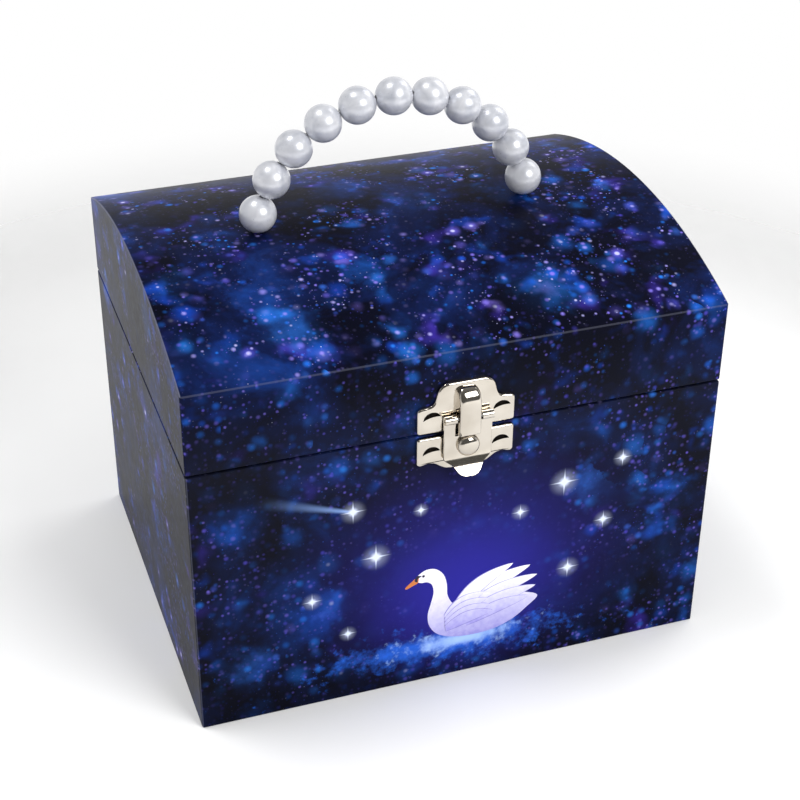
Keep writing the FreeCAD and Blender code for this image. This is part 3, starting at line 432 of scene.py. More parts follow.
    def comet_light(self, tree: NodeTree, axes: Node) -> NodeSocket:
        """Brightness of the comet's tail, widening and fading away from its head.

        Args:
            tree: The material's node tree.
            axes: Node that gives the position's parts.

        Returns:
            Its brightness, 0 to 1.
        """
        run = Vector(self.comet_tail) - Vector(self.comet_head)
        ahead = run.normalized()
        start = Vector(self.comet_head) * MM
        along_x = add_node(tree, "Math", {0: axes.outputs["X"], 1: ahead.x, 2: -start.dot(ahead)},
                           operation="MULTIPLY_ADD")
        along = add_node(tree, "Math", {0: axes.outputs["Z"], 1: ahead.y, 2: along_x},
                         operation="MULTIPLY_ADD")
        across_x = add_node(tree, "Math", {0: axes.outputs["X"], 1: -ahead.y,
                                           2: start.x * ahead.y - start.y * ahead.x},
                            operation="MULTIPLY_ADD")
        across = add_node(tree, "Math", {0: axes.outputs["Z"], 1: ahead.x, 2: across_x},
                          operation="MULTIPLY_ADD")
        off = add_node(tree, "Math", {0: across}, operation="ABSOLUTE")
        width = add_node(tree, "MapRange", {"Value": along, "From Max": run.length * MM, "To Min": 0.8 * MM,
                                            "To Max": self.comet_width * MM})
        share = add_node(tree, "Math", {0: off, 1: width}, operation="DIVIDE")
        body = add_node(tree, "MapRange", {"Value": share, "From Min": 1.0, "From Max": 0.0},
                        interpolation_type="SMOOTHSTEP")
        fade = add_node(tree, "MapRange", {"Value": along, "From Min": run.length * MM, "From Max": 0.0,
                                           "To Max": 0.85})
        begun = add_node(tree, "Math", {0: along, 1: 0.0}, operation="GREATER_THAN")
        thin = add_node(tree, "Math", {0: fade, 1: 1.7}, operation="POWER")
        shown = add_node(tree, "Math", {0: thin, 1: begun}, operation="MULTIPLY")
        tail = add_node(tree, "Math", {0: body, 1: shown}, operation="MULTIPLY")
        return tail.outputs["Value"]

    @staticmethod
    def sparkle_light(tree: NodeTree, axes: Node, sparkle: Sparkle) -> NodeSocket:
        """Brightness of one star: a soft core with thin rays along the two axes.

        Args:
            tree: The material's node tree.
            axes: Node that gives the position's parts.
            sparkle: The star.

        Returns:
            Its brightness, 0 to 1.
        """
        across = add_node(tree, "Math", {0: axes.outputs["X"], 1: sparkle.x_mm * MM}, operation="SUBTRACT")
        up = add_node(tree, "Math", {0: axes.outputs["Z"], 1: sparkle.z_mm * MM}, operation="SUBTRACT")
        offset = add_node(tree, "CombineXYZ", {"X": across, "Y": up})
        far = add_node(tree, "VectorMath", {0: offset}, operation="LENGTH")
        size = sparkle.reach_mm * MM
        core = add_node(tree, "MapRange", {"Value": far, "From Min": size * 0.42, "From Max": 0.0},
                        interpolation_type="SMOOTHSTEP")
        halo = add_node(tree, "MapRange", {"Value": far, "From Min": size, "From Max": 0.0},
                        interpolation_type="SMOOTHSTEP")
        cross = add_node(tree, "Math", {0: across, 1: up}, operation="MULTIPLY")
        thin = add_node(tree, "Math", {0: cross}, operation="ABSOLUTE")
        ray = add_node(tree, "MapRange", {"Value": thin, "From Min": size * size * 0.03, "From Max": 0.0},
                       interpolation_type="SMOOTHSTEP")
        rays = add_node(tree, "Math", {0: ray, 1: halo}, operation="MULTIPLY")
        soft = add_node(tree, "Math", {0: halo, 1: 0.30}, operation="MULTIPLY")
        bright = add_node(tree, "Math", {0: core, 1: rays}, operation="MAXIMUM")
        whole = add_node(tree, "Math", {0: bright, 1: soft}, operation="ADD", use_clamp=True)
        return whole.outputs["Value"]

    def edge_wear_and_highlight(self, tree: NodeTree, colour: NodeSocket) -> NodeSocket:
        """Pale line where the paper folds over the board's edges: partly rubbed paper, partly a painted
        highlight on the rounded folds.

        Args:
            tree: The material's node tree.
            colour: The printed colour.

        Returns:
            The colour with the pale edges, rubbed paper and painted highlight.
        """
        pale_edge = add_node(tree, "Attribute", attribute_name="fold", attribute_type="GEOMETRY")
        mix = add_node(tree, "Mix", {"Factor": pale_edge.outputs["Fac"], "A": colour, "B": linear(self.wear_and_highlight)},
                       data_type="RGBA", blend_type="MIX")
        return mix.outputs["Result"]


@dataclass(frozen=True)
class PearlLacquer(Finish):
    """Acrylic bead dipped in pearl lacquer: milky white, silvery in the shade, with soft highlights."""

    light: str = "#dcdde2"
    dark: str = "#babdc6"

    def dress(self, tree: NodeTree, shader: Node, place: NodeSocket) -> None:
        """Wire a drifting nacre cloud under a clear coat.

        Args:
            tree: The material's node tree.
            shader: Its Principled shader.
            place: Position on the object in metres.
        """
        drift = add_node(tree, "TexNoise", {"Vector": place, "Scale": per(7), "Detail": 3.0,
                                            "Distortion": 1.2})
        nacre = ramp(tree, drift, [(0.30, self.dark), (0.70, self.light)])
        tree.links.new(nacre.outputs["Color"], shader.inputs["Base Color"])
        # Mica in the lacquer lies in fine swirls, about 0.6 mm apart.
        mica = add_node(tree, "TexNoise", {"Vector": place, "Scale": per(0.6), "Detail": 2.0})
        satin = add_node(tree, "MapRange", {"Value": mica, "To Min": 0.24, "To Max": 0.36})
        tree.links.new(satin.outputs["Result"], shader.inputs["Roughness"])
        self.set_inputs(shader, Metallic=0.25, Coat_Weight=0.5, Coat_Roughness=0.16)


class Lay(Enum):
    """Which way the tool marks of a metal run."""

    NONE = (1.0, 1.0, 1.0)
    ALONG_X = (0.04, 1.0, 1.0)
    ROUND_Z = (1.0, 1.0, 0.05)


@dataclass(frozen=True)
class Metal(Finish):
    """A bare or plated metal: tint, gloss and the marks that its making leaves."""

    tint: str = "#cfc8bc"
    shade: str = "#b9b2a6"
    gloss: tuple[float, float] = (0.10, 0.17)
    grain_mm: float = 1.2
    depth_mm: float = 0.004
    lay: Lay = Lay.NONE

    def dress(self, tree: NodeTree, shader: Node, place: NodeSocket) -> None:
        """Wire tint, gloss and bump from one grain pattern.

        Args:
            tree: The material's node tree.
            shader: Its Principled shader.
            place: Position on the object in metres.
        """
        run = add_node(tree, "Mapping", {"Vector": place, "Scale": self.lay.value})
        grain = add_node(tree, "TexNoise", {"Vector": run, "Scale": per(self.grain_mm), "Detail": 4.0})
        stain = add_node(tree, "TexNoise", {"Vector": place, "Scale": per(9), "Detail": 2.0})
        tone = ramp(tree, stain, [(0.35, self.shade), (0.62, self.tint)])
        tree.links.new(tone.outputs["Color"], shader.inputs["Base Color"])
        gloss = add_node(tree, "MapRange", {"Value": grain, "From Min": 0.3, "From Max": 0.7,
                                            "To Min": self.gloss[0], "To Max": self.gloss[1]})
        tree.links.new(gloss.outputs["Result"], shader.inputs["Roughness"])
        self.bump(tree, shader, grain.outputs["Fac"], self.depth_mm)
        self.set_inputs(shader, Metallic=1.0)


@dataclass(frozen=True)
class FlockedVelvet(Finish):
    """Nylon flock on paper: deep and soft, paler where the pile is brushed over."""

    deep: str = "#2c1f5e"
    brushed: str = "#4a3a92"
    pile_mm: float = 0.7

    def dress(self, tree: NodeTree, shader: Node, place: NodeSocket) -> None:
        """Wire brushed patches, pile and sheen.

        Args:
            tree: The material's node tree.
            shader: Its Principled shader.
            place: Position on the object in metres.
        """
        patch = add_node(tree, "TexNoise", {"Vector": place, "Scale": per(14), "Detail": 4.0,
                                            "Distortion": 0.8})
        # The pile is 0.1 mm thick thread, coarsened so that it shows at this size.
        pile = add_node(tree, "TexNoise", {"Vector": place, "Scale": per(self.pile_mm), "Detail": 2.0})
        both = add_node(tree, "Mix", {"Factor": 0.35, "A": patch, "B": pile})
        tone = ramp(tree, both, [(0.38, self.deep), (0.60, self.brushed)])
        tree.links.new(tone.outputs["Color"], shader.inputs["Base Color"])
        self.bump(tree, shader, pile.outputs["Fac"], 0.15)
        self.set_inputs(shader, Roughness=0.95, Specular_IOR_Level=0.1, Sheen_Weight=0.5,
                        Sheen_Roughness=0.4)


@dataclass(frozen=True)
class StarLining(Finish):
    """Uncoated lining paper printed with small dots: matt, with faint fibres."""

    ground: str = "#7d7ac4"
    fibre: str = "#716db8"
    dot: str = "#d9dcf6"

    def dress(self, tree: NodeTree, shader: Node, place: NodeSocket) -> None:
        """Wire fibres and scattered dots.

        Args:
            tree: The material's node tree.
            shader: Its Principled shader.
            place: Position on the object in metres.
        """
        fibres = add_node(tree, "TexNoise", {"Vector": place, "Scale": per(1.1), "Detail": 4.0})
        base = ramp(tree, fibres, [(0.35, self.fibre), (0.65, self.ground)])
        cells = add_node(tree, "TexVoronoi", {"Vector": place, "Scale": per(4.6), "Randomness": 1.0})
        dots = add_node(tree, "MapRange", {"Value": cells, "From Min": 0.18, "From Max": 0.13})
        mix = add_node(tree, "Mix", {"Factor": dots, "A": base, "B": linear(self.dot)}, data_type="RGBA")
        tree.links.new(mix.outputs["Result"], shader.inputs["Base Color"])
        self.bump(tree, shader, fibres.outputs["Fac"], 0.02)
        self.set_inputs(shader, Roughness=0.8, Specular_IOR_Level=0.3)


@dataclass(frozen=True)
class Mottled(Finish):
    """A plain moulded, pressed or painted surface: two near tones, a fine grain and a set gloss."""

    light: str = "#b08d5f"
    dark: str = "#8e6d45"
    patch_mm: float = 5.0
    grain_mm: float = 0.9
    depth_mm: float = 0.03
    gloss: tuple[float, float] = (0.75, 0.9)
    specular: float = 0.5
    metallic: float = 0.0
    flesh: float = 0.0

    def dress(self, tree: NodeTree, shader: Node, place: NodeSocket) -> None:
        """Wire tone, grain and gloss.

        Args:
            tree: The material's node tree.
            shader: Its Principled shader.
            place: Position on the object in metres.
        """
        patch = add_node(tree, "TexNoise", {"Vector": place, "Scale": per(self.patch_mm), "Detail": 5.0})
        tone = ramp(tree, patch, [(0.36, self.dark), (0.64, self.light)])
        tree.links.new(tone.outputs["Color"], shader.inputs["Base Color"])
        grain = add_node(tree, "TexNoise", {"Vector": place, "Scale": per(self.grain_mm), "Detail": 3.0})
        gloss = add_node(tree, "MapRange", {"Value": grain, "To Min": self.gloss[0],
                                            "To Max": self.gloss[1]})
        tree.links.new(gloss.outputs["Result"], shader.inputs["Roughness"])
        self.bump(tree, shader, grain.outputs["Fac"], self.depth_mm)
        self.set_inputs(shader, Specular_IOR_Level=self.specular, Metallic=self.metallic,
                        Subsurface_Weight=self.flesh, Subsurface_Scale=0.001)


@dataclass(frozen=True)
class SweepBoard(Mottled):
    """Painted floor board that runs out into the white sweep: the camera sees it fade away from the box."""

    near_mm: float = 150.0
    far_mm: float = 390.0

    def dress(self, tree: NodeTree, shader: Node, place: NodeSocket) -> None:
        """Wire the paint, then let the far floor give way to the surround for the camera alone.

        Args:
            tree: The material's node tree.
            shader: Its Principled shader.
            place: Position on the object in metres.
        """
        super().dress(tree, shader, place)
        away = add_node(tree, "VectorMath", {0: place}, operation="LENGTH")
        fade = add_node(tree, "MapRange", {"Value": away, "From Min": self.near_mm * MM,
                                           "From Max": self.far_mm * MM}, interpolation_type="SMOOTHSTEP")
        path = add_node(tree, "LightPath")
        share = add_node(tree, "Math", {0: fade, 1: path.outputs["Is Camera Ray"]}, operation="MULTIPLY")
        clear = add_node(tree, "BsdfTransparent")
        both = add_node(tree, "MixShader", {0: share, 1: shader.outputs["BSDF"], 2: clear.outputs["BSDF"]})
        tree.links.new(both.outputs["Shader"], tree.nodes["Material Output"].inputs["Surface"])


@dataclass(frozen=True)
class NylonTulle(Finish):
    """Knitted nylon net: a fine hexagonal mesh that lets the layer beneath show through."""

    thread: str = "#f4eefc"
    shade: str = "#d9c9f2"
    mesh_mm: float = 0.8

    def dress(self, tree: NodeTree, shader: Node, place: NodeSocket) -> None:
        """Wire the net as alpha.

        Args:
            tree: The material's node tree.
            shader: Its Principled shader.
            place: Position on the object in metres.
        """
        # The real net has 0.6 mm holes; it is coarsened a little so that it shows.
        net = add_node(tree, "TexVoronoi", {"Vector": place, "Scale": per(self.mesh_mm),
                                            "Randomness": 0.25}, feature="DISTANCE_TO_EDGE")
        hole = add_node(tree, "MapRange", {"Value": net, "From Min": 0.10, "From Max": 0.24, "To Min": 1.0,
                                           "To Max": 0.45})
        tree.links.new(hole.outputs["Result"], shader.inputs["Alpha"])
        fold = add_node(tree, "TexNoise", {"Vector": place, "Scale": per(5), "Detail": 2.0})
        tone = ramp(tree, fold, [(0.35, self.shade), (0.6, self.thread)])
        tree.links.new(tone.outputs["Color"], shader.inputs["Base Color"])
        self.bump(tree, shader, net.outputs["Distance"], 0.05)
        self.set_inputs(shader, Roughness=0.6, Sheen_Weight=0.3, Sheen_Roughness=0.3)


@dataclass(frozen=True)
class InkRelief(Finish):
    """Raised print on the laminate: pearl ink with a soft gradient from the foot of the motif up."""

    low: str = "#8fa4ea"
    high: str = "#f4f6ff"
    from_mm: float = 20.0
    to_mm: float = 60.0
    gloss: float = 0.4

    def dress(self, tree: NodeTree, shader: Node, place: NodeSocket) -> None:
        """Wire the gradient along the height and a fine ink grain.

        Args:
            tree: The material's node tree.
            shader: Its Principled shader.
            place: Position on the object in metres.
        """
        axes = add_node(tree, "SeparateXYZ", {"Vector": place})
        rise = add_node(tree, "MapRange", {"Value": axes.outputs["Z"], "From Min": self.from_mm * MM,
                                           "From Max": self.to_mm * MM})
        grain = add_node(tree, "TexNoise", {"Vector": place, "Scale": per(1.6), "Detail": 4.0})
        blur = add_node(tree, "MapRange", {"Value": grain, "To Min": -0.22, "To Max": 0.22})
        height = add_node(tree, "Math", {0: rise, 1: blur}, operation="ADD", use_clamp=True)
        tone = ramp(tree, height, [(0.0, self.low), (1.0, self.high)])
        tree.links.new(tone.outputs["Color"], shader.inputs["Base Color"])
        self.bump(tree, shader, grain.outputs["Fac"], 0.01)
        self.set_inputs(shader, Roughness=self.gloss, Specular_IOR_Level=0.3)


SKY_PAPER = NightSkyPaper("laminated_paper_offset_printed")
PEARL = PearlLacquer("acrylic_bead_pearl_dipped")
# Plated after pressing and tumbled bright: warm white with a long clear reflection.
NICKEL = Metal("steel_pressed_nickel_plated", tint="#d0c9be", shade="#c3bbaf", gloss=(0.06, 0.12),
               grain_mm=1.6)
# Near-black steel card behind each slot of the latch plates: painted shade for the dark inside the slots.
SLOT_SHADE_STEEL = Metal("steel_painted_slot_shade", tint="#1d1a19", shade="#100f0f", gloss=(0.45, 0.6),
                   grain_mm=0.5)
# Drawn wire and turned screws keep a grey brushed line.
STEEL = Metal("steel_drawn_brushed", tint="#a3a5aa", shade="#87898e", gloss=(0.24, 0.36), grain_mm=0.5,
              lay=Lay.ALONG_X)
# Turned and cut brass, unlacquered, so it has dulled in patches.
BRASS = Metal("brass_turned_bare", tint="#d2ab5c", shade="#a98340", gloss=(0.22, 0.38), grain_mm=0.6,
              lay=Lay.ROUND_Z)
# Die-cast zinc has a dull grey skin with a fine cast grain.
ZINC = Metal("zinc_die_cast", tint="#9a9ca0", shade="#7d7f84", gloss=(0.42, 0.58), grain_mm=0.9,
             depth_mm=0.02)
# The silver backing of float glass gives a clean mirror with a trace of dust.
MIRROR = Metal("glass_float_silvered", tint="#e4e9e8", shade="#dde3e2", gloss=(0.015, 0.04), grain_mm=6.0,
               depth_mm=0.0)
FOIL_CARD = Metal("card_foil_laminated", tint="#cfd0dc", shade="#bbbccb", gloss=(0.26, 0.36), grain_mm=0.9,
                  depth_mm=0.01)
VELVET = FlockedVelvet("flock_velvet_on_paper")
LINING = StarLining("lining_paper_dot_printed")
# Sawn fibreboard shows fuzzy tan fibres.
FIBREBOARD = Mottled("fibreboard_sawn")
# Moulded vinyl skin: matt, slightly see-through at thin edges.
DOLL_SKIN = Mottled("vinyl_moulded_skin", light="#f0cdb4", dark="#e6bda2", patch_mm=4, grain_mm=0.8,
                    depth_mm=0.006, gloss=(0.40, 0.50), flesh=0.15)
DOLL_HAIR = Mottled("vinyl_hair_brush_painted", light="#5a3820", dark="#3b2313", patch_mm=1.2, grain_mm=0.5,
                    depth_mm=0.12, gloss=(0.38, 0.5))
DOLL_BODICE = Mottled("bodice_pearl_painted", light="#cdb9ee", dark="#b49be0", patch_mm=2.0, grain_mm=0.5,
                      depth_mm=0.03, gloss=(0.22, 0.34), metallic=0.25)
DOLL_SHOE = Mottled("shoe_satin_painted", light="#f1d3dd", dark="#e3bccb", patch_mm=1.5, grain_mm=0.4,
                    depth_mm=0.02, gloss=(0.25, 0.36))
DOLL_INK = Mottled("face_pad_printed", light="#4a2b26", dark="#34201d", patch_mm=1.0, grain_mm=0.3,
                   depth_mm=0.003, gloss=(0.4, 0.5))
DOLL_LIP = Mottled("lip_pad_printed", light="#c96f70", dark="#b95f63", patch_mm=1.0, grain_mm=0.3,
                   depth_mm=0.003, gloss=(0.3, 0.4))
TULLE = NylonTulle("tulle_nylon_knitted")
WHITE_PLASTIC = Mottled("styrene_injection_moulded", light="#f0eeea", dark="#e4e1dc", patch_mm=8,
                        grain_mm=0.5, depth_mm=0.004, gloss=(0.26, 0.36))
FLOOR_BOARD = SweepBoard("backdrop_board_painted", light="#fbfbfb", dark="#f9f9f9", patch_mm=60,
                         grain_mm=1.5, depth_mm=0.01, gloss=(0.75, 0.9), specular=0.2)

# Pearl ink screened over the laminate lies a hair proud and catches a soft sheen.
PLUME_INK = InkRelief("ink_pearl_screen_printed", low="#8f8ad6", high="#f1eefc", from_mm=13, to_mm=34)
WING_INK = InkRelief("ink_white_screen_printed", low="#9a94de", high="#ffffff", from_mm=18, to_mm=36)
SHADE_INK = InkRelief("ink_lilac_screen_printed", low="#7d77c6", high="#a9a3e4", from_mm=18, to_mm=36)
BILL_INK = InkRelief("ink_amber_screen_printed", low="#c8743c", high="#e9a765", from_mm=42, to_mm=47)
LINE_INK = InkRelief("ink_dark_screen_printed", low="#1b1930", high="#2a2748", from_mm=40, to_mm=50)

SLOT_FINISH: dict[str, Finish] = {
    "printed_paper": SKY_PAPER, "fibreboard": FIBREBOARD, "velvet": VELVET, "lining_paper": LINING,
    "pearl": PEARL, "nickel": NICKEL, "steel": STEEL, "brass": BRASS, "zinc": ZINC, "mirror_glass": MIRROR,
    "silver_card": FOIL_CARD, "doll_plastic": DOLL_SKIN, "tulle": TULLE, "white_plastic": WHITE_PLASTIC,
}


def mesh_object(name: str, bm: BMesh, finish: Finish, smooth_deg: float = 35.0) -> Object:
    """Turn a bmesh into a shown object with smooth faces between its sharp edges.

    Args:
        name: Name of the object.
        bm: Its mesh, in metres in the frame of the solids; it is freed.
        finish: What it is finished with.
        smooth_deg: Edges that bend more than this stay sharp.

    Returns:
        The new object.
    """
    bmesh.ops.recalc_face_normals(bm, faces=bm.faces)
    middle = sum((v.co for v in bm.verts), Vector()) / len(bm.verts)
    if sum(f.calc_area() * f.normal.dot(f.calc_center_median() - middle) for f in bm.faces) < 0:
        bmesh.ops.reverse_faces(bm, faces=bm.faces)
    mesh = bpy.data.meshes.new(name)
    bm.to_mesh(mesh)
    bm.free()
    mesh.shade_smooth()
    mesh.set_sharp_from_angle(angle=math.radians(smooth_deg))
    obj = bpy.data.objects.new(name, mesh)
    bpy.context.scene.collection.objects.link(obj)
    mesh.materials.append(finish.make())
    return obj


def apply_modifiers(obj: Object) -> None:
    """Bake an object's modifiers into its mesh.

    Args:
        obj: The object.
    """
    depsgraph = bpy.context.evaluated_depsgraph_get()
    baked = bpy.data.meshes.new_from_object(obj.evaluated_get(depsgraph))
    obj.modifiers.clear()
    obj.data = baked


def add_modifier(obj: Object, kind: str, **settings: object) -> Modifier:
    """Add a modifier with its settings.

    Args:
        obj: The object.
        kind: The modifier's type.
        **settings: Its attributes.

    Returns:
        The modifier.
    """
    modifier = obj.modifiers.new(kind.lower(), kind)
    for name, value in settings.items():
        setattr(modifier, name, value)
    return modifier


def place_piece(obj: Object, body: str, slot: str, *nodes: str) -> Object:
    """Make a piece ride on a body and stand for its nodes.

    Args:
        obj: The piece.
        body: The body that it moves with.
        slot: The record's material slot; not used.
        *nodes: Nodes that it replaces.

    Returns:
        The piece.
    """
    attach(obj, body)
    if nodes:
        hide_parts(*nodes)
    LOG.info("piece %s on %s", obj.name, body)
    return obj


def loft(bm: BMesh, rings: Sequence[Sequence[Point]], closed: bool = True, capped: bool = True) -> None:
    """Skin a row of rings of equal length.

    Args:
        bm: Mesh to add to.
        rings: Points of each ring in millimetres.
        closed: Whether each ring joins its last point to its first.
        capped: Whether the first and last ring get a face.
    """
    rows = [[bm.verts.new(Vector(p) * MM) for p in ring] for ring in rings]
    count = len(rows[0])
    for low, high in zip(rows, rows[1:]):
        for i in range(count if closed else count - 1):
            j = (i + 1) % count
            bm.faces.new((low[i], low[j], high[j], high[i]))
    if capped:
        bm.faces.new(rows[0])
        bm.faces.new(rows[-1])


def turned(bm: BMesh, profile: Sequence[Flat], centre: Point, axis: Vector, steps: int = 32) -> None:
    """Spin a profile about an axis.

    Args:
        bm: Mesh to add to.
        profile: Radius and height along the axis of each point, in millimetres.
        centre: Where height zero is, in millimetres.
        axis: The axis.
        steps: Faces around.
    """
    turn = Vector((0, 0, 1)).rotation_difference(axis.normalized()).to_matrix()
    rings = []
    for radius, height in profile:
        ring = []
        for i in range(steps):
            angle = math.tau * i / steps
            local = Vector((radius * math.cos(angle), radius * math.sin(angle), height))
            ring.append(tuple(turn @ local + Vector(centre)))
        rings.append(ring)
    loft(bm, rings)


def slab(bm: BMesh, outline: Sequence[Flat], y_back: float, y_front: float, edge: float,
         segments: int = 3) -> None:
    """Plate standing in the XZ plane with a rounded front edge.

    Args:
        bm: Mesh to add to.
        outline: X and Z of its corners in millimetres, in order.
        y_back: Y of its back face.
        y_front: Y of its front face.
        edge: Radius of the front edge.
        segments: Faces in that edge.
    """
    ahead = [*outline[1:], outline[0]]
    behind = [outline[-1], *outline[:-1]]
    turn = math.copysign(1.0, sum(a[0] * b[1] - b[0] * a[1] for a, b in zip(outline, ahead)))
    inward = []
    for before, after in zip(behind, ahead):
        run = (Vector(after) - Vector(before)).normalized()
        inward.append(Vector((-run.y, run.x)) * turn)
    rings = [[(x, y_back, z) for x, z in outline]]
    for k in range(segments + 1):
        angle = math.radians(90 * k / segments)
        inset = edge * (1 - math.cos(angle))
        y = y_front + math.copysign(edge * (1 - math.sin(angle)), y_back - y_front)
        rings.append([(x + n.x * inset, y, z + n.y * inset) for (x, z), n in zip(outline, inward)])
    loft(bm, rings)


def corner_arc(centre: Flat, radius: float, start_deg: float, end_deg: float, steps: int = 6) -> list[Flat]:
    """Points along an arc in a plane, both ends included."""
    angles = [math.radians(start_deg + (end_deg - start_deg) * i / steps) for i in range(steps + 1)]
    return [(centre[0] + radius * math.cos(a), centre[1] + radius * math.sin(a)) for a in angles]


def mark_pale_edges(obj: Object, folded: Callable[[Vector], float]) -> None:
    """Store how pale each corner of a mesh is: partly rubbed paper, partly painted highlight.

    Args:
        obj: The piece.
        folded: Gives 0 to 1 for a point in millimetres.
    """
    data = obj.data.attributes.new("fold", "FLOAT", "POINT")
    for vertex, item in zip(obj.data.vertices, data.data):
        item.value = folded(vertex.co / MM)


@dataclass
class PaperCase:
    """Printed paper over the boards of the box and the lid."""

    half_x: float = 82.5
    half_y: float = 65.0
    base_top: float = 92.15
    lid_low: float = 92.85
    wall_top: float = 118.8
    crest: float = 131.3
    skin: float = 0.5
    fold: float = 1.5
    seam_share: float = 0.32
    corner_share: float = 0.55
    turn_share: Flat = (0.9394, 0.9231)
    foot_share: Flat = (0.944, 0.93)
    foot_drop: float = 0.02
    top_share: float = 0.30
    arch_radius: float = 175.25
    # How pale each kind of fold edge is: partly rubbed paper, partly painted highlight.
    corner_wear_and_highlight: float = 0.30
    arch_wear_and_highlight: float = 0.60
    front_wear_and_highlight: float = 0.14
    seam_wear_and_highlight: float = 0.02
    pale_edge_mm: float = 0.5
    line_mm: float = 0.34

    def build(self) -> None:
        """Build the wrap of the box and of the lid."""
        self.base()
        self.lid()

    def shell(self, name: str, bm: BMesh, edges: Callable[[BMEdge], float]) -> Object:
        """Fold a closed block's edges and thin it to a skin that opens towards the seam.

        Args:
            name: Name of the piece.
            bm: The block, without the faces that stay open.
            edges: Gives each edge's share of the fold radius.

        Returns:
            The skin.
        """
        weights = [edges(e) for e in bm.edges]
        obj = mesh_object(name, bm, SKY_PAPER, 60)
        store = obj.data.attributes.new("bevel_weight_edge", "FLOAT", "EDGE")
        for item, weight in zip(store.data, weights):
            item.value = weight
        add_modifier(obj, "BEVEL", width=self.fold * MM, segments=4, limit_method="WEIGHT",
                     use_clamp_overlap=False)
        add_modifier(obj, "SOLIDIFY", thickness=self.skin * MM, offset=-1.0)
        add_modifier(obj, "WEIGHTED_NORMAL", keep_sharp=True, weight=100)
        apply_modifiers(obj)
        return obj

    def base(self) -> None:
        """Wrap of the box: four walls, folded at the corners and under the bottom edge."""
        bm = bmesh.new()
        bottom = [(-self.half_x, -self.half_y), (self.half_x, -self.half_y), (self.half_x, self.half_y),
                  (-self.half_x, self.half_y)]
        low = [bm.verts.new(Vector((x, y, -self.foot_drop)) * MM) for x, y in bottom]
        high = [bm.verts.new(Vector((x, y, self.base_top)) * MM) for x, y in bottom]
        foot_x, foot_y = self.foot_share
        turn_low = [bm.verts.new(Vector((x * foot_x, y * foot_y, -self.foot_drop)) * MM) for x, y in bottom]
        (in_x, in_y), high_z = self.turn_share, self.base_top
        turn_high = [bm.verts.new(Vector((x * in_x, y * in_y, high_z)) * MM) for x, y in bottom]
        for i in range(4):
            j = (i + 1) % 4
            bm.faces.new((low[i], low[j], high[j], high[i]))
            bm.faces.new((turn_low[i], turn_low[j], low[j], low[i]))
            bm.faces.new((high[i], high[j], turn_high[j], turn_high[i]))
        corners = set(low + high)

        def share(edge: BMEdge) -> float:
            """Widest at the upright corners, less along the seam and the foot.

            Args:
                edge: An edge of the block.

            Returns:
                Its share of the fold radius.
            """
            one, two = edge.verts
            if one not in corners or two not in corners:
                return 0.0
            return self.corner_share if abs(one.co.z - two.co.z) > 0.01 else self.seam_share

        obj = self.shell("case_paper", bm, share)
        mark_pale_edges(obj, self.base_wear_and_highlight)
        place_piece(obj, "base", "printed_paper", "base_wrap")

    def base_wear_and_highlight(self, point: Vector) -> float:
        """Pale paper at the upright corners and the seam's edge: partly rubbed, partly painted highlight.

        Args:
            point: A place on the paper in millimetres.

        Returns:
            How pale it is there, 0 to 1.
        """
        corner = math.hypot(self.half_x - abs(point.x), self.half_y - abs(point.y))
        wall = min(self.half_x - abs(point.x), self.half_y - abs(point.y))
        seam = math.hypot(self.base_top - point.z, wall)
        if corner < self.pale_edge_mm:
            return self.corner_wear_and_highlight
        return self.seam_wear_and_highlight if seam < self.pale_edge_mm else 0.0

    def lid(self) -> None:
        """Wrap of the lid: four walls and the barrel top."""
        radius = (self.half_y ** 2 + (self.crest - self.wall_top) ** 2) / (2 * (self.crest - self.wall_top))
        centre_z = self.crest - radius
        spread = math.degrees(math.asin(self.half_y / radius))
        arch = corner_arc((0, centre_z), radius, 90 + spread, 90 - spread, 28)
        arch = [(-self.half_y, self.wall_top), *arch[1:-1], (self.half_y, self.wall_top)]
        profile = [(-self.half_y, self.lid_low), *arch, (self.half_y, self.lid_low)]
        bm = bmesh.new()
        sides = [[bm.verts.new(Vector((x, y, z)) * MM) for y, z in profile]
                 for x in (-self.half_x, self.half_x)]
        in_x, in_y = self.turn_share
        turn = [[bm.verts.new(Vector((x * in_x, y * in_y, self.lid_low)) * MM)
                 for y in (-self.half_y, self.half_y)] for x in (-self.half_x, self.half_x)]
        left, right = sides
        for i in range(len(profile) - 1):
            bm.faces.new((left[i], left[i + 1], right[i + 1], right[i]))
        bm.faces.new(left)
        bm.faces.new(right)
        for end, inner in ((left, turn[0]), (right, turn[1])):
            bm.faces.new((end[0], end[-1], inner[1], inner[0]))
        bm.faces.new((left[0], right[0], turn[1][0], turn[0][0]))
        bm.faces.new((left[-1], right[-1], turn[1][1], turn[0][1]))
        ends = set(left + right)
        smooth = {v for i in range(2, len(profile) - 2) for v in (left[i], right[i])}

        def folded(edge: BMEdge) -> float:
            """Every outer edge but the facets of the barrel top.

            Args:
                edge: An edge of the block.

            Returns:
                Its share of the fold radius.
            """
            one, two = edge.verts
            if one not in ends or two not in ends:
                return 0.0
            across = abs(one.co.x - two.co.x) > 0.1
            low = max(one.co.z, two.co.z) < (self.lid_low + 0.1) * MM
            upright = abs(one.co.z - two.co.z) > 0.015
            if low:
                return self.seam_share
            if upright:
                return self.corner_share
            return 0.0 if across and one in smooth else self.top_share

        obj = self.shell("lid_paper", bm, folded)
        mark_pale_edges(obj, self.lid_wear_and_highlight)
        place_piece(obj, "lid", "printed_paper", "lid_wrap")

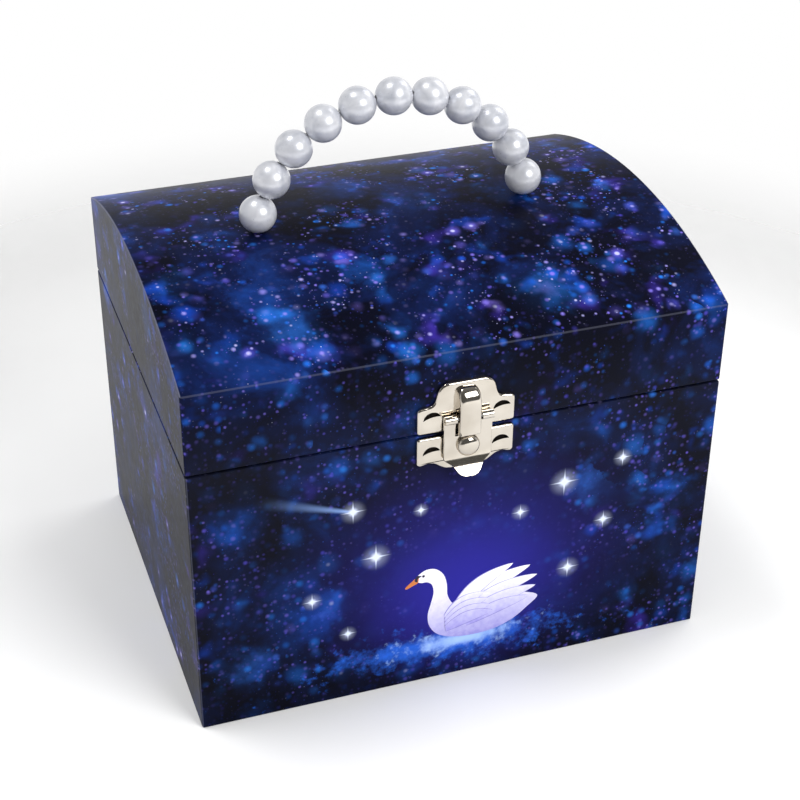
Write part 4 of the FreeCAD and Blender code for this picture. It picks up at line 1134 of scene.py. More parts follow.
    def lid_wear_and_highlight(self, point: Vector) -> float:
        """Pale paper along the front and back top edges and the two arches: partly rubbed, partly painted
        highlight.

        Args:
            point: A place on the paper in millimetres.

        Returns:
            How pale it is there, 0 to 1.
        """
        bow = self.arch_radius
        arch_top = self.crest - (1 - math.sqrt(max(0.0, 1 - (point.y / bow) ** 2))) * bow
        arch = math.hypot(self.half_x - abs(point.x), point.z - arch_top)
        front = math.hypot(self.half_y - abs(point.y), point.z - self.wall_top)
        wall = min(self.half_x - abs(point.x), self.half_y - abs(point.y))
        seam = math.hypot(point.z - self.lid_low, wall)
        if arch < self.line_mm:
            return self.arch_wear_and_highlight
        if front < self.line_mm:
            return self.front_wear_and_highlight
        return self.seam_wear_and_highlight if seam < self.pale_edge_mm else 0.0


def smooth_run(points: Sequence[Flat], parts: int = 5) -> list[Flat]:
    """Round a row of points with a curve that passes through each of them.

    Args:
        points: Points in a plane.
        parts: Steps between neighbours.

    Returns:
        The finer row, both ends included.
    """
    padded = [points[0], *points, points[-1]]
    run = []
    for four in zip(padded, padded[1:], padded[2:], padded[3:]):
        for k in range(parts):
            t = k / parts
            run.append(tuple(0.5 * (2 * b + (c - a) * t + (2 * a - 5 * b + 4 * c - d) * t * t
                                    + (3 * b - a - 3 * c + d) * t ** 3) for a, b, c, d in zip(*four)))
    return [*run, tuple(points[-1])]


def closed_run(points: Sequence[Flat], parts: int = 5) -> list[Flat]:
    """Round a closed row of points with a curve that passes through each of them."""
    looped = [*points[-2:], *points, *points[:2]]
    return smooth_run(looped, parts)[2 * parts:(len(points) + 2) * parts]


@dataclass
class FrontMotif:
    """Swan at rest on the mist, screened on the front in pearl ink."""

    front_y: float = -65.0
    rise: float = 0.012
    scale: float = 0.84
    foot: Flat = (4.0, 13.6)
    bed: float = 0.005
    edge_most: float = 0.02
    edge_share: float = 0.4

    def build(self) -> None:
        """Print body, wing feathers, bill and eye, each layer over the one before."""
        body = [(30.5, 26.5), (24, 29.6), (16, 31.2), (8, 31.0), (1, 29.6), (-3.2, 31.0), (-5.4, 35.4),
                (-5.8, 40.6), (-7.2, 45.3), (-10.2, 48.4), (-13.8, 48.9), (-16.8, 47.2), (-17.9, 45.1),
                (-16.0, 43.5), (-13.4, 43.2), (-11.5, 41.4), (-10.9, 37.6), (-11.9, 32.8), (-13.0, 27.8),
                (-12.2, 22.4), (-8.8, 17.8), (-2.4, 15.0), (6, 14.2), (14, 15.0), (21, 17.8), (26.4, 22.0)]
        self.layer("swan_body_print", [closed_run(body)], PLUME_INK, 1)
        fan = [((-3, 23.5), (27, 41.5), 3.3, 3.0), ((-2, 22.5), (30, 36.5), 3.2, 2.6),
               ((0, 21.5), (29.5, 31.6), 3.0, 2.0), ((2, 20.5), (27, 27.2), 2.7, 1.4),
               ((-4, 24.5), (20, 44.0), 3.1, 3.2)]
        fan += [((-6, 25.0 - 1.7 * i), (9 + 1.2 * i, 33.5 - 3.2 * i), 2.6, 1.6) for i in range(4)]
        for number, (root, tip, width, bend) in enumerate(fan):
            order = 2 + 2 * number
            self.layer(f"swan_shade_print_{number}", [self.feather(root, tip, width + 0.3, bend)],
                       SHADE_INK, order)
            self.layer(f"swan_feather_print_{number}", [self.feather(root, tip, width, bend)], WING_INK,
                       order + 1)
        self.layer("swan_bill_print",
                   [closed_run([(-16.9, 46.6), (-19.6, 44.6), (-21.8, 42.6), (-21.2, 41.9), (-18.8, 42.9),
                                (-16.9, 43.9)], 4)], BILL_INK, 2)
        eye = corner_arc((-14.9, 46.3), 0.55, 0, 345, 23)
        mask = closed_run([(-17.4, 46.9), (-15.6, 46.5), (-17.0, 45.6), (-17.2, 44.2), (-18.3, 45.0)], 4)
        self.layer("swan_eye_print", [eye, mask], LINE_INK, 3)

    @staticmethod
    def feather(root: Flat, tip: Flat, width: float, bend: float) -> list[Flat]:
        """Outline of one feather.

        Args:
            root: Where it grows.
            tip: Where it ends.
            width: Its half width at the widest.
            bend: How far its middle bows up.

        Returns:
            Its outline, in order.
        """
        start, run = Vector(root), Vector(tip) - Vector(root)
        up = Vector((-run.y, run.x)).normalized()
        sides: tuple[list[Flat], list[Flat]] = ([], [])
        for k in range(25):
            t = k / 24
            middle = start + run * t + up * (bend * math.sin(math.pi * t))
            half = width * math.sin(math.pi * (0.12 + 0.88 * t)) ** 0.7 if t < 1 else 0.0
            for row, sign in zip(sides, (1, -1)):
                row.append(tuple(middle + up * (half * sign)))
        return [*sides[0], *reversed(sides[1][:-1])]

    def layer(self, name: str, outlines: Sequence[Sequence[Flat]], ink: Finish, order: int) -> None:
        """Lay one film of ink on the front.

        Args:
            name: Name of the print.
            outlines: X and Z of each shape's edge.
            ink: Its finish.
            order: Its place in the stack, from the paper out.
        """
        bm = bmesh.new()
        y = self.front_y - self.rise * order
        (x0, z0), share = self.foot, self.scale
        for outline in outlines:
            outline = [(x0 + (x - x0) * share, z0 + (z - z0) * share) for x, z in outline]
            edge = min(self.edge_most, self.rise * order * self.edge_share)
            slab(bm, outline, self.front_y - self.bed, y, edge, 1)
        place_piece(mesh_object(name, bm, ink, 30), "base", "printed_paper")


@dataclass
class BeadHandle:
    """Row of pearls on a stiff wire, bent over the lid."""

    count: int = 11
    bead: float = 11.4
    circle: float = 44.4
    centre_z: float = 124.75
    bore: float = 1.8
    pitch_share: float = 1.002
    bore_in: float = 0.25
    bore_deep: float = 0.9
    uneven: float = 0.002

    def build(self) -> None:
        """Build the pearls, each with the mouths of its bore."""
        step = 2 * math.asin(self.bead * self.pitch_share / (2 * self.circle))
        middle = (self.count - 1) / 2
        bm = bmesh.new()
        radius = self.bead / 2
        open_deg = math.degrees(math.asin(self.bore / 2 / radius))
        rng = random.Random(11)
        for i in range(self.count):
            angle = math.pi / 2 + (middle - i) * step
            centre = (self.circle * math.cos(angle), 0.0, self.centre_z + self.circle * math.sin(angle))
            along = Vector((-math.sin(angle), 0.0, math.cos(angle)))
            sides = [math.radians(open_deg + (180 - 2 * open_deg) * k / 28) for k in range(29)]
            mouth, deep = self.bore / 2 - self.bore_in, radius * math.cos(sides[0]) - self.bore_deep
            round_off = [(radius * math.sin(t) * (1 - rng.uniform(0, self.uneven)), -radius * math.cos(t))
                         for t in sides]
            profile = [(mouth, -deep), *round_off, (mouth, deep)]
            turned(bm, profile, centre, along, 48)
        pearls = mesh_object("handle_pearls", bm, PEARL, 50)
        place_piece(pearls, "lid", "pearl", "handle_beads")


@dataclass
class HaspLatch:
    """Pressed nickel latch: two plates, a hood with its pin, and a hasp with button and finger tab."""

    plate_back: float = -65.0
    plate_front: float = -66.4
    ear_x: float = 10.7
    upper_claw_z: float = 99.0
    lower_claw_z: float = 87.2
    pin: Flat = (-68.2, 98.0)
    knuckle: float = 1.3
    leaf_front: float = -67.9
    leaf_back: float = -67.1
    window_half: float = 3.9
    leaf_half: float = 7.4
    window_low: float = 92.0
    hood_half: float = 3.4
    hood_low: float = 92.8
    hood_spring: float = 102.6
    hood_top: float = 107.8
    hood_shoulder: float = 2.4
    hood_front: float = -70.2
    hood_lip: float = 0.15
    hood_gap: float = 0.4
    hood_square: Flat = (0.26, 0.3)
    plate_foot: float = 93.25
    rim: float = 0.75
    dish: Point = (8.4, 5.0, 7.4)
    dish_out: float = 4.78
    dish_drop: float = 0.6
    slot_lean_deg: float = 10.0
    slot_reach: Flat = (0.5, 0.8)
    # Outline, depth and edge of the near-black card behind each slot: painted shade.
    slot_shade: tuple[Flat, ...] = ((-3.0, -1.6), (3.0, -1.6), (3.0, 2.0), (-3.0, 2.0))
    slot_shade_depth: Flat = (0.01, 0.25)
    slot_shade_edge: float = 0.05
    leaf_bevel: float = 0.12

    def build(self) -> None:
        """Build every piece of the latch."""
        upper_side = smooth_run([(15, 100.2), (14.86, 101.1), (14.3, 101.8), (13.2, 102.05), (10.9, 102.4),
                                 (9.9, 103.1), (9.4, 104.2), (9.05, 105.6), (8.5, 107.2), (7.4, 108.5),
                                 (5.9, 109.1), (4.6, 109.2)])
        upper = [*upper_side, *[(-x, z) for x, z in reversed(upper_side)],
                 *corner_arc((-14.1, 94.15), 0.9, 180, 270), *corner_arc((14.1, 94.15), 0.9, 270, 360)]
        lower_side = smooth_run([(15, 83.7), (14.9, 82.9), (14.2, 82.35), (13.2, 82.4), (11.6, 82.75),
                                 (9.6, 82.4), (7.8, 81.2), (6.2, 80.3), (4.4, 80.0)])
        lower = [*corner_arc((14.1, 90.85), 0.9, 0, 90), *corner_arc((-14.1, 90.85), 0.9, 90, 180),
                 *[(-x, z) for x, z in lower_side], *reversed(lower_side)]
        self.plate("latch_plate_upper", self.unique(upper), self.upper_claw_z, "lid", "latch_upper_plate")
        self.plate("latch_plate_lower", self.unique(lower), self.lower_claw_z, "base", "latch_lower_plate")
        self.hood()
        self.hasp()
        self.button()

    @staticmethod
    def unique(points: Sequence[Flat]) -> list[Flat]:
        """Drop points that repeat their neighbour."""
        return [p for p, q in zip(points, [*points[1:], points[0]]) if math.dist(p, q) > 0.02]

    def plate(self, name: str, outline: list[Flat], claw_z: float, body: str, node: str) -> None:
        """One plate with rolled edges, two almond slots, the dishes that the claws were pressed from, and a
        near-black card behind each slot as painted shade.

        Args:
            name: Name of the piece.
            outline: X and Z of its edge.
            claw_z: Height of its slots.
            body: The body that it rides on.
            node: The node that it replaces.
        """
        bm = bmesh.new()
        slab(bm, outline, self.plate_back, self.plate_front, self.rim, 5)
        obj = mesh_object(name, bm, NICKEL, 40)
        cutters = []
        for word, side in (("left", -1), ("right", 1)):
            ear = (side * self.ear_x, claw_z)
            cutters += [self.dish_cutter(ear), self.slot_cutter(ear)]
            # Near-black card just inside the plate behind the slot: painted shade, so that the slot reads
            # dark.
            slot_shade = bmesh.new()
            near, far = (self.plate_back - depth for depth in self.slot_shade_depth)
            slab(slot_shade, [(ear[0] + x, claw_z + z) for x, z in self.slot_shade], near, far, self.slot_shade_edge, 1)
            place_piece(mesh_object(f"{name}_pit_{word}", slot_shade, SLOT_SHADE_STEEL), body, "steel")
        for cutter in cutters:
            add_modifier(obj, "BOOLEAN", operation="DIFFERENCE", object=cutter, solver="EXACT")
        apply_modifiers(obj)
        for cutter in cutters:
            bpy.data.objects.remove(cutter)
        obj.data.shade_smooth()
        obj.data.set_sharp_from_angle(angle=math.radians(22))
        place_piece(obj, body, "nickel", node)

    def dish_cutter(self, ear: Flat) -> Object:
        """Flat egg that sinks a shallow dish into an ear of the plate.

        Args:
            ear: X and Z of the slot's middle.

        Returns:
            The cutter.
        """
        bm = bmesh.new()
        bmesh.ops.create_uvsphere(bm, u_segments=96, v_segments=64, radius=1.0)
        bmesh.ops.scale(bm, vec=Vector(self.dish) * MM, verts=bm.verts)
        spot = Vector((ear[0], self.plate_front - self.dish_out, ear[1] - self.dish_drop))
        bmesh.ops.translate(bm, vec=spot * MM, verts=bm.verts)
        return mesh_object("dish_cutter", bm, NICKEL, 180)

    def slot_cutter(self, ear: Flat) -> Object:
        """Leaning almond that opens the slot where a claw was bent back.

        Args:
            ear: X and Z of the slot's middle.

        Returns:
            The cutter.
        """
        lean = math.radians(self.slot_lean_deg)
        run, rise = math.cos(lean), math.sin(lean)
        top = corner_arc((0, -1.33), 2.83, 165, 15, 18)
        bottom = corner_arc((0, -15.38), 15.03, 79.5, 100.5, 14)
        edge = [(ear[0] + x * run - z * rise, ear[1] + x * rise + z * run) for x, z in [*top, *bottom]]
        depths = (self.plate_back + self.slot_reach[0], self.plate_front - self.slot_reach[1])
        bm = bmesh.new()
        loft(bm, [[(x, y, z) for x, z in edge] for y in depths])
        return mesh_object("slot_cutter", bm, NICKEL, 40)

    def hood(self) -> None:
        """Hood with a flat face, rounded sides and a domed top."""
        top, spring, bend = self.hood_top, self.hood_spring, self.hood_shoulder
        insets = {self.hood_low: 0.35, self.hood_low + self.hood_lip: 0.12}
        rings = []
        heights = [*insets, self.plate_foot - 0.01, self.plate_foot + 0.01, 96.0, 99.0, spring]
        heights += [spring + (top - spring) * math.sin(math.radians(a)) for a in range(5, 90, 5)]
        for z in heights:
            rise = max(0.0, (z - spring) / (top - spring))
            shrink = math.sqrt(max(0.0, 1 - rise ** 2)) or 0.02
            over = max(0.0, z - (top - bend))
            half = self.hood_half - bend + math.sqrt(max(0.0, bend ** 2 - over ** 2))
            back = self.plate_front - self.hood_gap if z < self.plate_foot else self.plate_front
            front = self.plate_front + (self.hood_front - self.plate_front) * shrink + insets.get(z, 0.0)
            ring = []
            power = self.hood_square[0] + self.hood_square[1] * rise
            for i in range(25):
                t = math.pi * i / 24
                across = math.copysign(abs(math.cos(t)) ** power, math.cos(t))
                ring.append((half * across, back + (front - back) * math.sin(t) ** power, z))
            rings.append(ring)
        bm = bmesh.new()
        loft(bm, rings)
        obj = mesh_object("latch_hood_pressed", bm, NICKEL, 50)
        place_piece(obj, "lid", "nickel", "latch_hood")

    def hasp(self) -> None:
        """Hasp: two legs rolled round the pin, a plate and a tab that curls out to a rounded tongue."""
        bm = bmesh.new()
        y0, z0 = self.pin
        for side in (-1, 1):
            roll = [(y0 + self.knuckle * math.cos(math.radians(a)),
                     z0 + self.knuckle * math.sin(math.radians(a))) for a in range(-32, 284, 9)]
            section = [(self.leaf_front, self.window_low), (self.leaf_back, self.window_low),
                       (self.leaf_back, z0 - 1.4), *roll, (self.leaf_front, z0 - 1.5)]
            inner, outer = side * self.window_half, side * self.leaf_half
            loft(bm, [[(x, y, z) for y, z in section] for x in (inner, outer)])
        floor = (self.window_low + 0.1) * MM
        long_edges = [e for e in bm.edges if abs(e.verts[0].co.x - e.verts[1].co.x) < 1e-7
                      and max(v.co.z for v in e.verts) > floor]
        bmesh.ops.bevel(bm, geom=long_edges, offset=self.leaf_bevel * MM, offset_type="OFFSET", segments=2,
                        profile=0.5, affect="EDGES", clamp_overlap=True)
        path = smooth_run([(-67.5, self.window_low), (-67.5, 88.5), (-67.5, 86.4), (-67.56, 85.4),
                           (-67.71, 84.6), (-67.95, 83.8), (-68.25, 83.0), (-68.62, 82.2), (-69.08, 81.4),
                           (-69.72, 80.4), (-70.22, 79.6), (-70.45, 79.25), (-70.5, 79.15)], 8)
        taper = smooth_run([(79.15, 0.5), (79.2, 1.2), (79.4, 2.1), (79.8, 2.9), (80.5, 3.6), (81.4, 4.2),
                            (82.4, 5.0), (83.3, 6.2), (83.9, 6.9), (84.4, 7.3), (84.8, self.leaf_half)], 8)
        rings = []
        for i, (y, z) in enumerate(path):
            ahead, behind = path[min(i + 1, len(path) - 1)], path[max(i - 1, 0)]
            run = Vector((0, ahead[0] - behind[0], ahead[1] - behind[1])).normalized()
            normal = Vector((0, run.z, -run.y))
            half = min(taper, key=lambda pair: abs(pair[0] - z))[1] if z < 84.8 else self.leaf_half
            ring = []
            for x, depth in self.leaf_section(half):
                point = Vector((x, y, z)) + normal * depth
                ring.append(tuple(point))
            rings.append(ring)
        loft(bm, rings)
        obj = mesh_object("latch_hasp_pressed", bm, NICKEL, 45)
        place_piece(obj, "hasp", "nickel", "latch_hasp")

    @staticmethod
    def leaf_section(half: float) -> list[Flat]:
        """Section of the sheet: 0.8 mm thick with rounded edges.

        Args:
            half: Half its width.

        Returns:
            Place across and depth of each corner, in order.
        """
        thick, inset, side = 0.4, 0.15, 0.2
        steps = [-half + inset, -half * 0.5, 0.0, half * 0.5, half - inset]
        upper = [(x, thick) for x in steps]
        lower = [(x, -thick) for x in reversed(steps)]
        return [*upper, (half, side), (half, -side), *lower, (-half, -side), (-half, side)]

    def button(self) -> None:
        """Domed button riveted to the hasp."""
        profile = [(0.02, 0.0), (3.2, 0.0), (3.5, 0.12), (3.5, 0.5), (3.42, 0.9), (3.2, 1.35), (2.8, 1.75),
                   (2.2, 2.08), (1.5, 2.28), (0.8, 2.38), (0.02, 2.4)]
        bm = bmesh.new()
        turned(bm, profile, (0.0, self.leaf_front, 88.6), Vector((0, -1, 0)), 48)
        obj = mesh_object("latch_button_domed", bm, NICKEL, 60)
        place_piece(obj, "hasp", "nickel", "latch_button")


def limb(bm: BMesh, stations: Sequence[tuple[float, float, float, float]], steps: int = 18,
         parts: int = 5) -> None:
    """Round limb along a smooth line through its stations.

    Args:
        bm: Mesh to add to.
        stations: X, Y, Z and radius of each station in millimetres.
        steps: Faces around.
        parts: Rings between stations.
    """
    flat = [smooth_run([(s[i], s[3]) for s in stations], parts) for i in range(3)]
    line = [(Vector((flat[0][k][0], flat[1][k][0], flat[2][k][0])), flat[0][k][1])
            for k in range(len(flat[0]))]
    angles = [math.tau * i / steps for i in range(steps)]
    side = Vector((1, 0, 0))
    rings = []
    for k, (centre, radius) in enumerate(line):
        run = (line[min(k + 1, len(line) - 1)][0] - line[max(k - 1, 0)][0]).normalized()
        side = (side - run * side.dot(run)).normalized()
        up = run.cross(side)
        rings.append([tuple(centre + (side * math.cos(a) + up * math.sin(a)) * radius) for a in angles])
    first, last, blunt = line[0][0], line[-1][0], 0.45
    rings.insert(0, [tuple(first + (Vector(p) - first) * blunt) for p in rings[0]])
    rings.append([tuple(last + (Vector(p) - last) * blunt) for p in rings[-1]])
    loft(bm, rings)


def oval_stack(bm: BMesh, sections: Sequence[tuple[float, float, float, float]], centre: Flat,
               steps: int = 28, parts: int = 4) -> None:
    """Body of oval sections.

    Args:
        bm: Mesh to add to.
        sections: Height, half width, half depth and forward offset of each section in millimetres.
        centre: X and Y of the axis.
        steps: Points around.
        parts: Sections between two given ones.
    """
    columns = [smooth_run([(s[0], s[i]) for s in sections], parts) for i in (1, 2, 3)]
    rings = []
    for (z, wide), (_, deep), (_, ahead) in zip(*columns):
        rings.append([(centre[0] + wide * math.cos(math.tau * i / steps),
                       centre[1] - ahead + deep * math.sin(math.tau * i / steps), z) for i in range(steps)])
    loft(bm, rings)


@dataclass
class JewelWell:
    """Soft lining: the well's padded floor and ring cushion, the deck's velvet edge and the lid's strip."""

    floor_low: Point = (-76.5, -59.0, 17.0)
    floor_high: Point = (76.5, 2.8, 20.0)
    ring_low: Point = (2.5, -58.2, 20.0)
    ring_high: Point = (75.7, -28.2, 35.0)
    rolls: int = 4
    lid_inner: Flat = (77.5, 60.0)
    strip_low: float = 93.0
    strip_high: float = 105.9
    deck_half: float = 76.8
    pressure: float = 4.0
    swell: float = 1.6
    frames: int = 20
    lane_gap: float = 0.04
    pad_base: float = 0.5
    pad_edge: float = 3.5
    pad_crown: float = 0.66
    pad_waves: float = 0.14
    pad_pressed: float = 0.9
    pad_press_mm: float = 5.0
    roll_end: float = 5.0
    roll_least: float = 0.45
    roll_plump: float = 0.88
    roll_sway: float = 0.25

    def build(self) -> None:
        """Build the soft pieces and round the edges of boards, mirror, key, stand and hinges."""
        self.floor_pad()
        self.ring_rolls()
        self.lid_strip()
        self.deck_face()
        for name, width in (("well_divider", 1.0), ("deck_cover", 0.4), ("deck_riser", 0.5),
                            ("mirror_frame", 0.6), ("mirror", 0.4), ("winding_key", 0.5),
                            ("dancer_stand", 0.5), ("hinge_base_leaves", 0.2), ("hinge_lid_leaves", 0.2)):
            add_modifier(frame["nodes"][name], "BEVEL", width=width * MM, segments=3, limit_method="ANGLE",
                         angle_limit=math.radians(50), harden_normals=False)

    def stuff(self, cover: Object, held: Callable[[Vector], bool], low: Vector, high: Vector,
              lane: float = 0.0) -> None:
        """Fill a sewn cover by cloth pressure and keep it in its place.

        Args:
            cover: The cover, a little smaller than its room.
            held: Tells whether a point in millimetres is glued or sewn down.
            low: Lowest corner of its room.
            high: Highest corner of its room.
            lane: Width of each roll across the room, or 0 for a single cover.
        """
        start = [v.co / MM for v in cover.data.vertices]
        seam = cover.vertex_groups.new(name="sewn_edge")
        seam.add([i for i, point in enumerate(start) if held(point)], 1.0, "ADD")
        cloth = add_modifier(cover, "CLOTH")
        for name, value in (("quality", 6), ("mass", 0.05), ("tension_stiffness", 20.0),
                            ("compression_stiffness", 20.0), ("shear_stiffness", 8.0),
                            ("bending_stiffness", 0.3), ("use_pressure", True),
                            ("uniform_pressure_force", self.pressure), ("vertex_group_mass", seam.name)):
            setattr(cloth.settings, name, value)
        cloth.settings.effector_weights.gravity = 0.0
        for step in range(1, self.frames + 1):
            bpy.context.scene.frame_set(step)
        apply_modifiers(cover)
        cover.vertex_groups.clear()
        bpy.context.scene.frame_set(1)
        furthest = 0.0
        for vertex, origin in zip(cover.data.vertices, start):
            move = vertex.co / MM - origin
            furthest = max(furthest, move.length)
            point = origin + move * min(1.0, self.swell / max(move.length, 1e-9))
            point = Vector([min(max(c, a), b) for c, a, b in zip(point, low, high)])
            if lane:
                first = low.y + lane * min(int((origin.y - low.y) / lane), self.rolls - 1)
                point.y = min(max(point.y, first + self.lane_gap), first + lane - self.lane_gap)
            vertex.co = point * MM
        LOG.info("cover %s swelled by %.2f mm", cover.name, furthest)

    def lid_strip(self) -> None:
        """Strip of lining paper glued round the inside of the lid, below its inner board."""
        (x, y), thick = self.lid_inner, 0.25
        bm = bmesh.new()
        loops = []
        for inset, z in ((0.02, self.strip_low), (0.02, self.strip_high), (thick, self.strip_high),
                         (thick, self.strip_low)):
            right, back = x - inset, y - inset
            loops.append([(-right, -back, z), (right, -back, z), (right, back, z), (-right, back, z)])
        loft(bm, [*loops, loops[0]], capped=False)
        bmesh.ops.remove_doubles(bm, verts=bm.verts, dist=1e-7)
        place_piece(mesh_object("lid_lining_strip", bm, LINING, 30), "lid", "lining_paper")

    def deck_face(self) -> None:
        """Velvet turned down over the deck's front edge and glued to the riser below it."""
        bm = bmesh.new()
        thick, riser_y, under = 0.28, 2.98, 0.02
        face = [(17.2, 2.70), (49.3, 2.70), (49.8, 2.85), (50.0, 3.2), (49.9, 3.4)]
        back = [(z - under, max(y + thick, riser_y)) for z, y in reversed(face)]
        rows = [[(-self.deck_half, y, z), (self.deck_half, y, z)] for z, y in [*face, *back, face[0]]]
        loft(bm, rows, closed=False, capped=False)
        bmesh.ops.remove_doubles(bm, verts=bm.verts, dist=1e-7)
        bmesh.ops.holes_fill(bm, edges=bm.edges, sides=0)
        place_piece(mesh_object("deck_front_velvet", bm, VELVET, 40), "base", "velvet")

    def floor_pad(self) -> None:
        """Thin padded floor, crowned between its edges and pressed flat under the divider."""
        low, high = Vector(self.floor_low), Vector(self.floor_high)
        span = high - low
        columns, rows = 90, 40
        bm = bmesh.new()
        rings = []
        rng = random.Random(5)
        wave = [(rng.uniform(18, 34), rng.uniform(14, 26), rng.uniform(0, 6)) for _ in range(4)]

        def top(x: float, y: float) -> float:
            """Height of the pad's face.

            Args:
                x: Place across the well in millimetres.
                y: Place along it.

            Returns:
                The height in millimetres.
            """
            edge = min(x - low.x, high.x - x, y - low.y, high.y - y)
            round_off = 1 - max(0.0, 1 - edge / self.pad_edge) ** 2
            soft = sum(math.sin(x / a + p) * math.sin(y / b + p) for a, b, p in wave) / len(wave)
            pressed = 1 - self.pad_pressed * math.exp(-(x / self.pad_press_mm) ** 2)
            crown = self.pad_crown + self.pad_waves * soft * pressed
            return low.z + self.pad_base + (span.z - self.pad_base) * round_off * crown

        for j in range(rows + 1):
            y = low.y + span.y * j / rows
            line = []
            for i in range(columns + 1):
                x = low.x + span.x * i / columns
                line.append((x, y, top(x, y)))
            rings.append(line)
        faces = [[bm.verts.new(Vector(p) * MM) for p in line] for line in rings]
        under = [[bm.verts.new(Vector((p[0], p[1], low.z)) * MM) for p in line] for line in rings]
        for grid in (faces, under):
            for j in range(rows):
                for i in range(columns):
                    bm.faces.new((grid[j][i], grid[j][i + 1], grid[j + 1][i + 1], grid[j + 1][i]))
        rim = [(0, i) for i in range(columns)] + [(j, columns) for j in range(rows)]
        rim += [(rows, i) for i in range(columns, 0, -1)] + [(j, 0) for j in range(rows, 0, -1)]
        for (a, b), (c, d) in zip(rim, [*rim[1:], rim[0]]):
            bm.faces.new((faces[a][b], faces[c][d], under[c][d], under[a][b]))
        pad = mesh_object("well_pad_velvet", bm, VELVET, 70)
        self.stuff(pad, lambda p: p.z < low.z + 0.55 or abs(p.x) < 1.5, low, high)
        place_piece(pad, "base", "velvet", "well_floor_pad")

    def ring_rolls(self) -> None:
        """Four stuffed rolls side by side that grip rings between them."""
        low, high = Vector(self.ring_low), Vector(self.ring_high)
        pitch = (high.y - low.y) / self.rolls
        bm = bmesh.new()
        rng = random.Random(8)
        for roll in range(self.rolls):
            middle = low.y + pitch * (roll + 0.5)
            sway = [rng.uniform(-self.roll_sway, self.roll_sway) for _ in range(3)]
            rings = []
            for i in range(45):
                t = i / 44
                x = low.x + (high.x - low.x) * t
                end = min(t, 1 - t) * (high.x - low.x)
                swell = math.sqrt(1 - max(0.0, 1 - end / self.roll_end) ** 2)
                full = swell * (1 - self.roll_least) + self.roll_least
                plump = self.roll_plump + 0.03 * math.sin(4.2 * t * math.pi + roll) + 0.02 * sway[1]
                half, tall = pitch * 0.495 * full * plump, (high.z - low.z) * (0.35 + 0.65 * full) * plump
                ring = []
                for k in range(24):
                    angle = math.tau * k / 24
                    across = math.copysign(abs(math.cos(angle)) ** 0.75, math.cos(angle)) * half
                    rise = 0.5 + 0.5 * math.copysign(abs(math.sin(angle)) ** 0.55, math.sin(angle))
                    ring.append((x, middle + across + sway[0] * math.sin(t * 3), low.z + tall * rise))
                rings.append(ring)
            loft(bm, rings)
        cushion = mesh_object("ring_rolls_velvet", bm, VELVET, 80)
        self.stuff(cushion, lambda p: p.z < low.z + 0.4, low, high, pitch)
        place_piece(cushion, "base", "velvet", "ring_cushion")


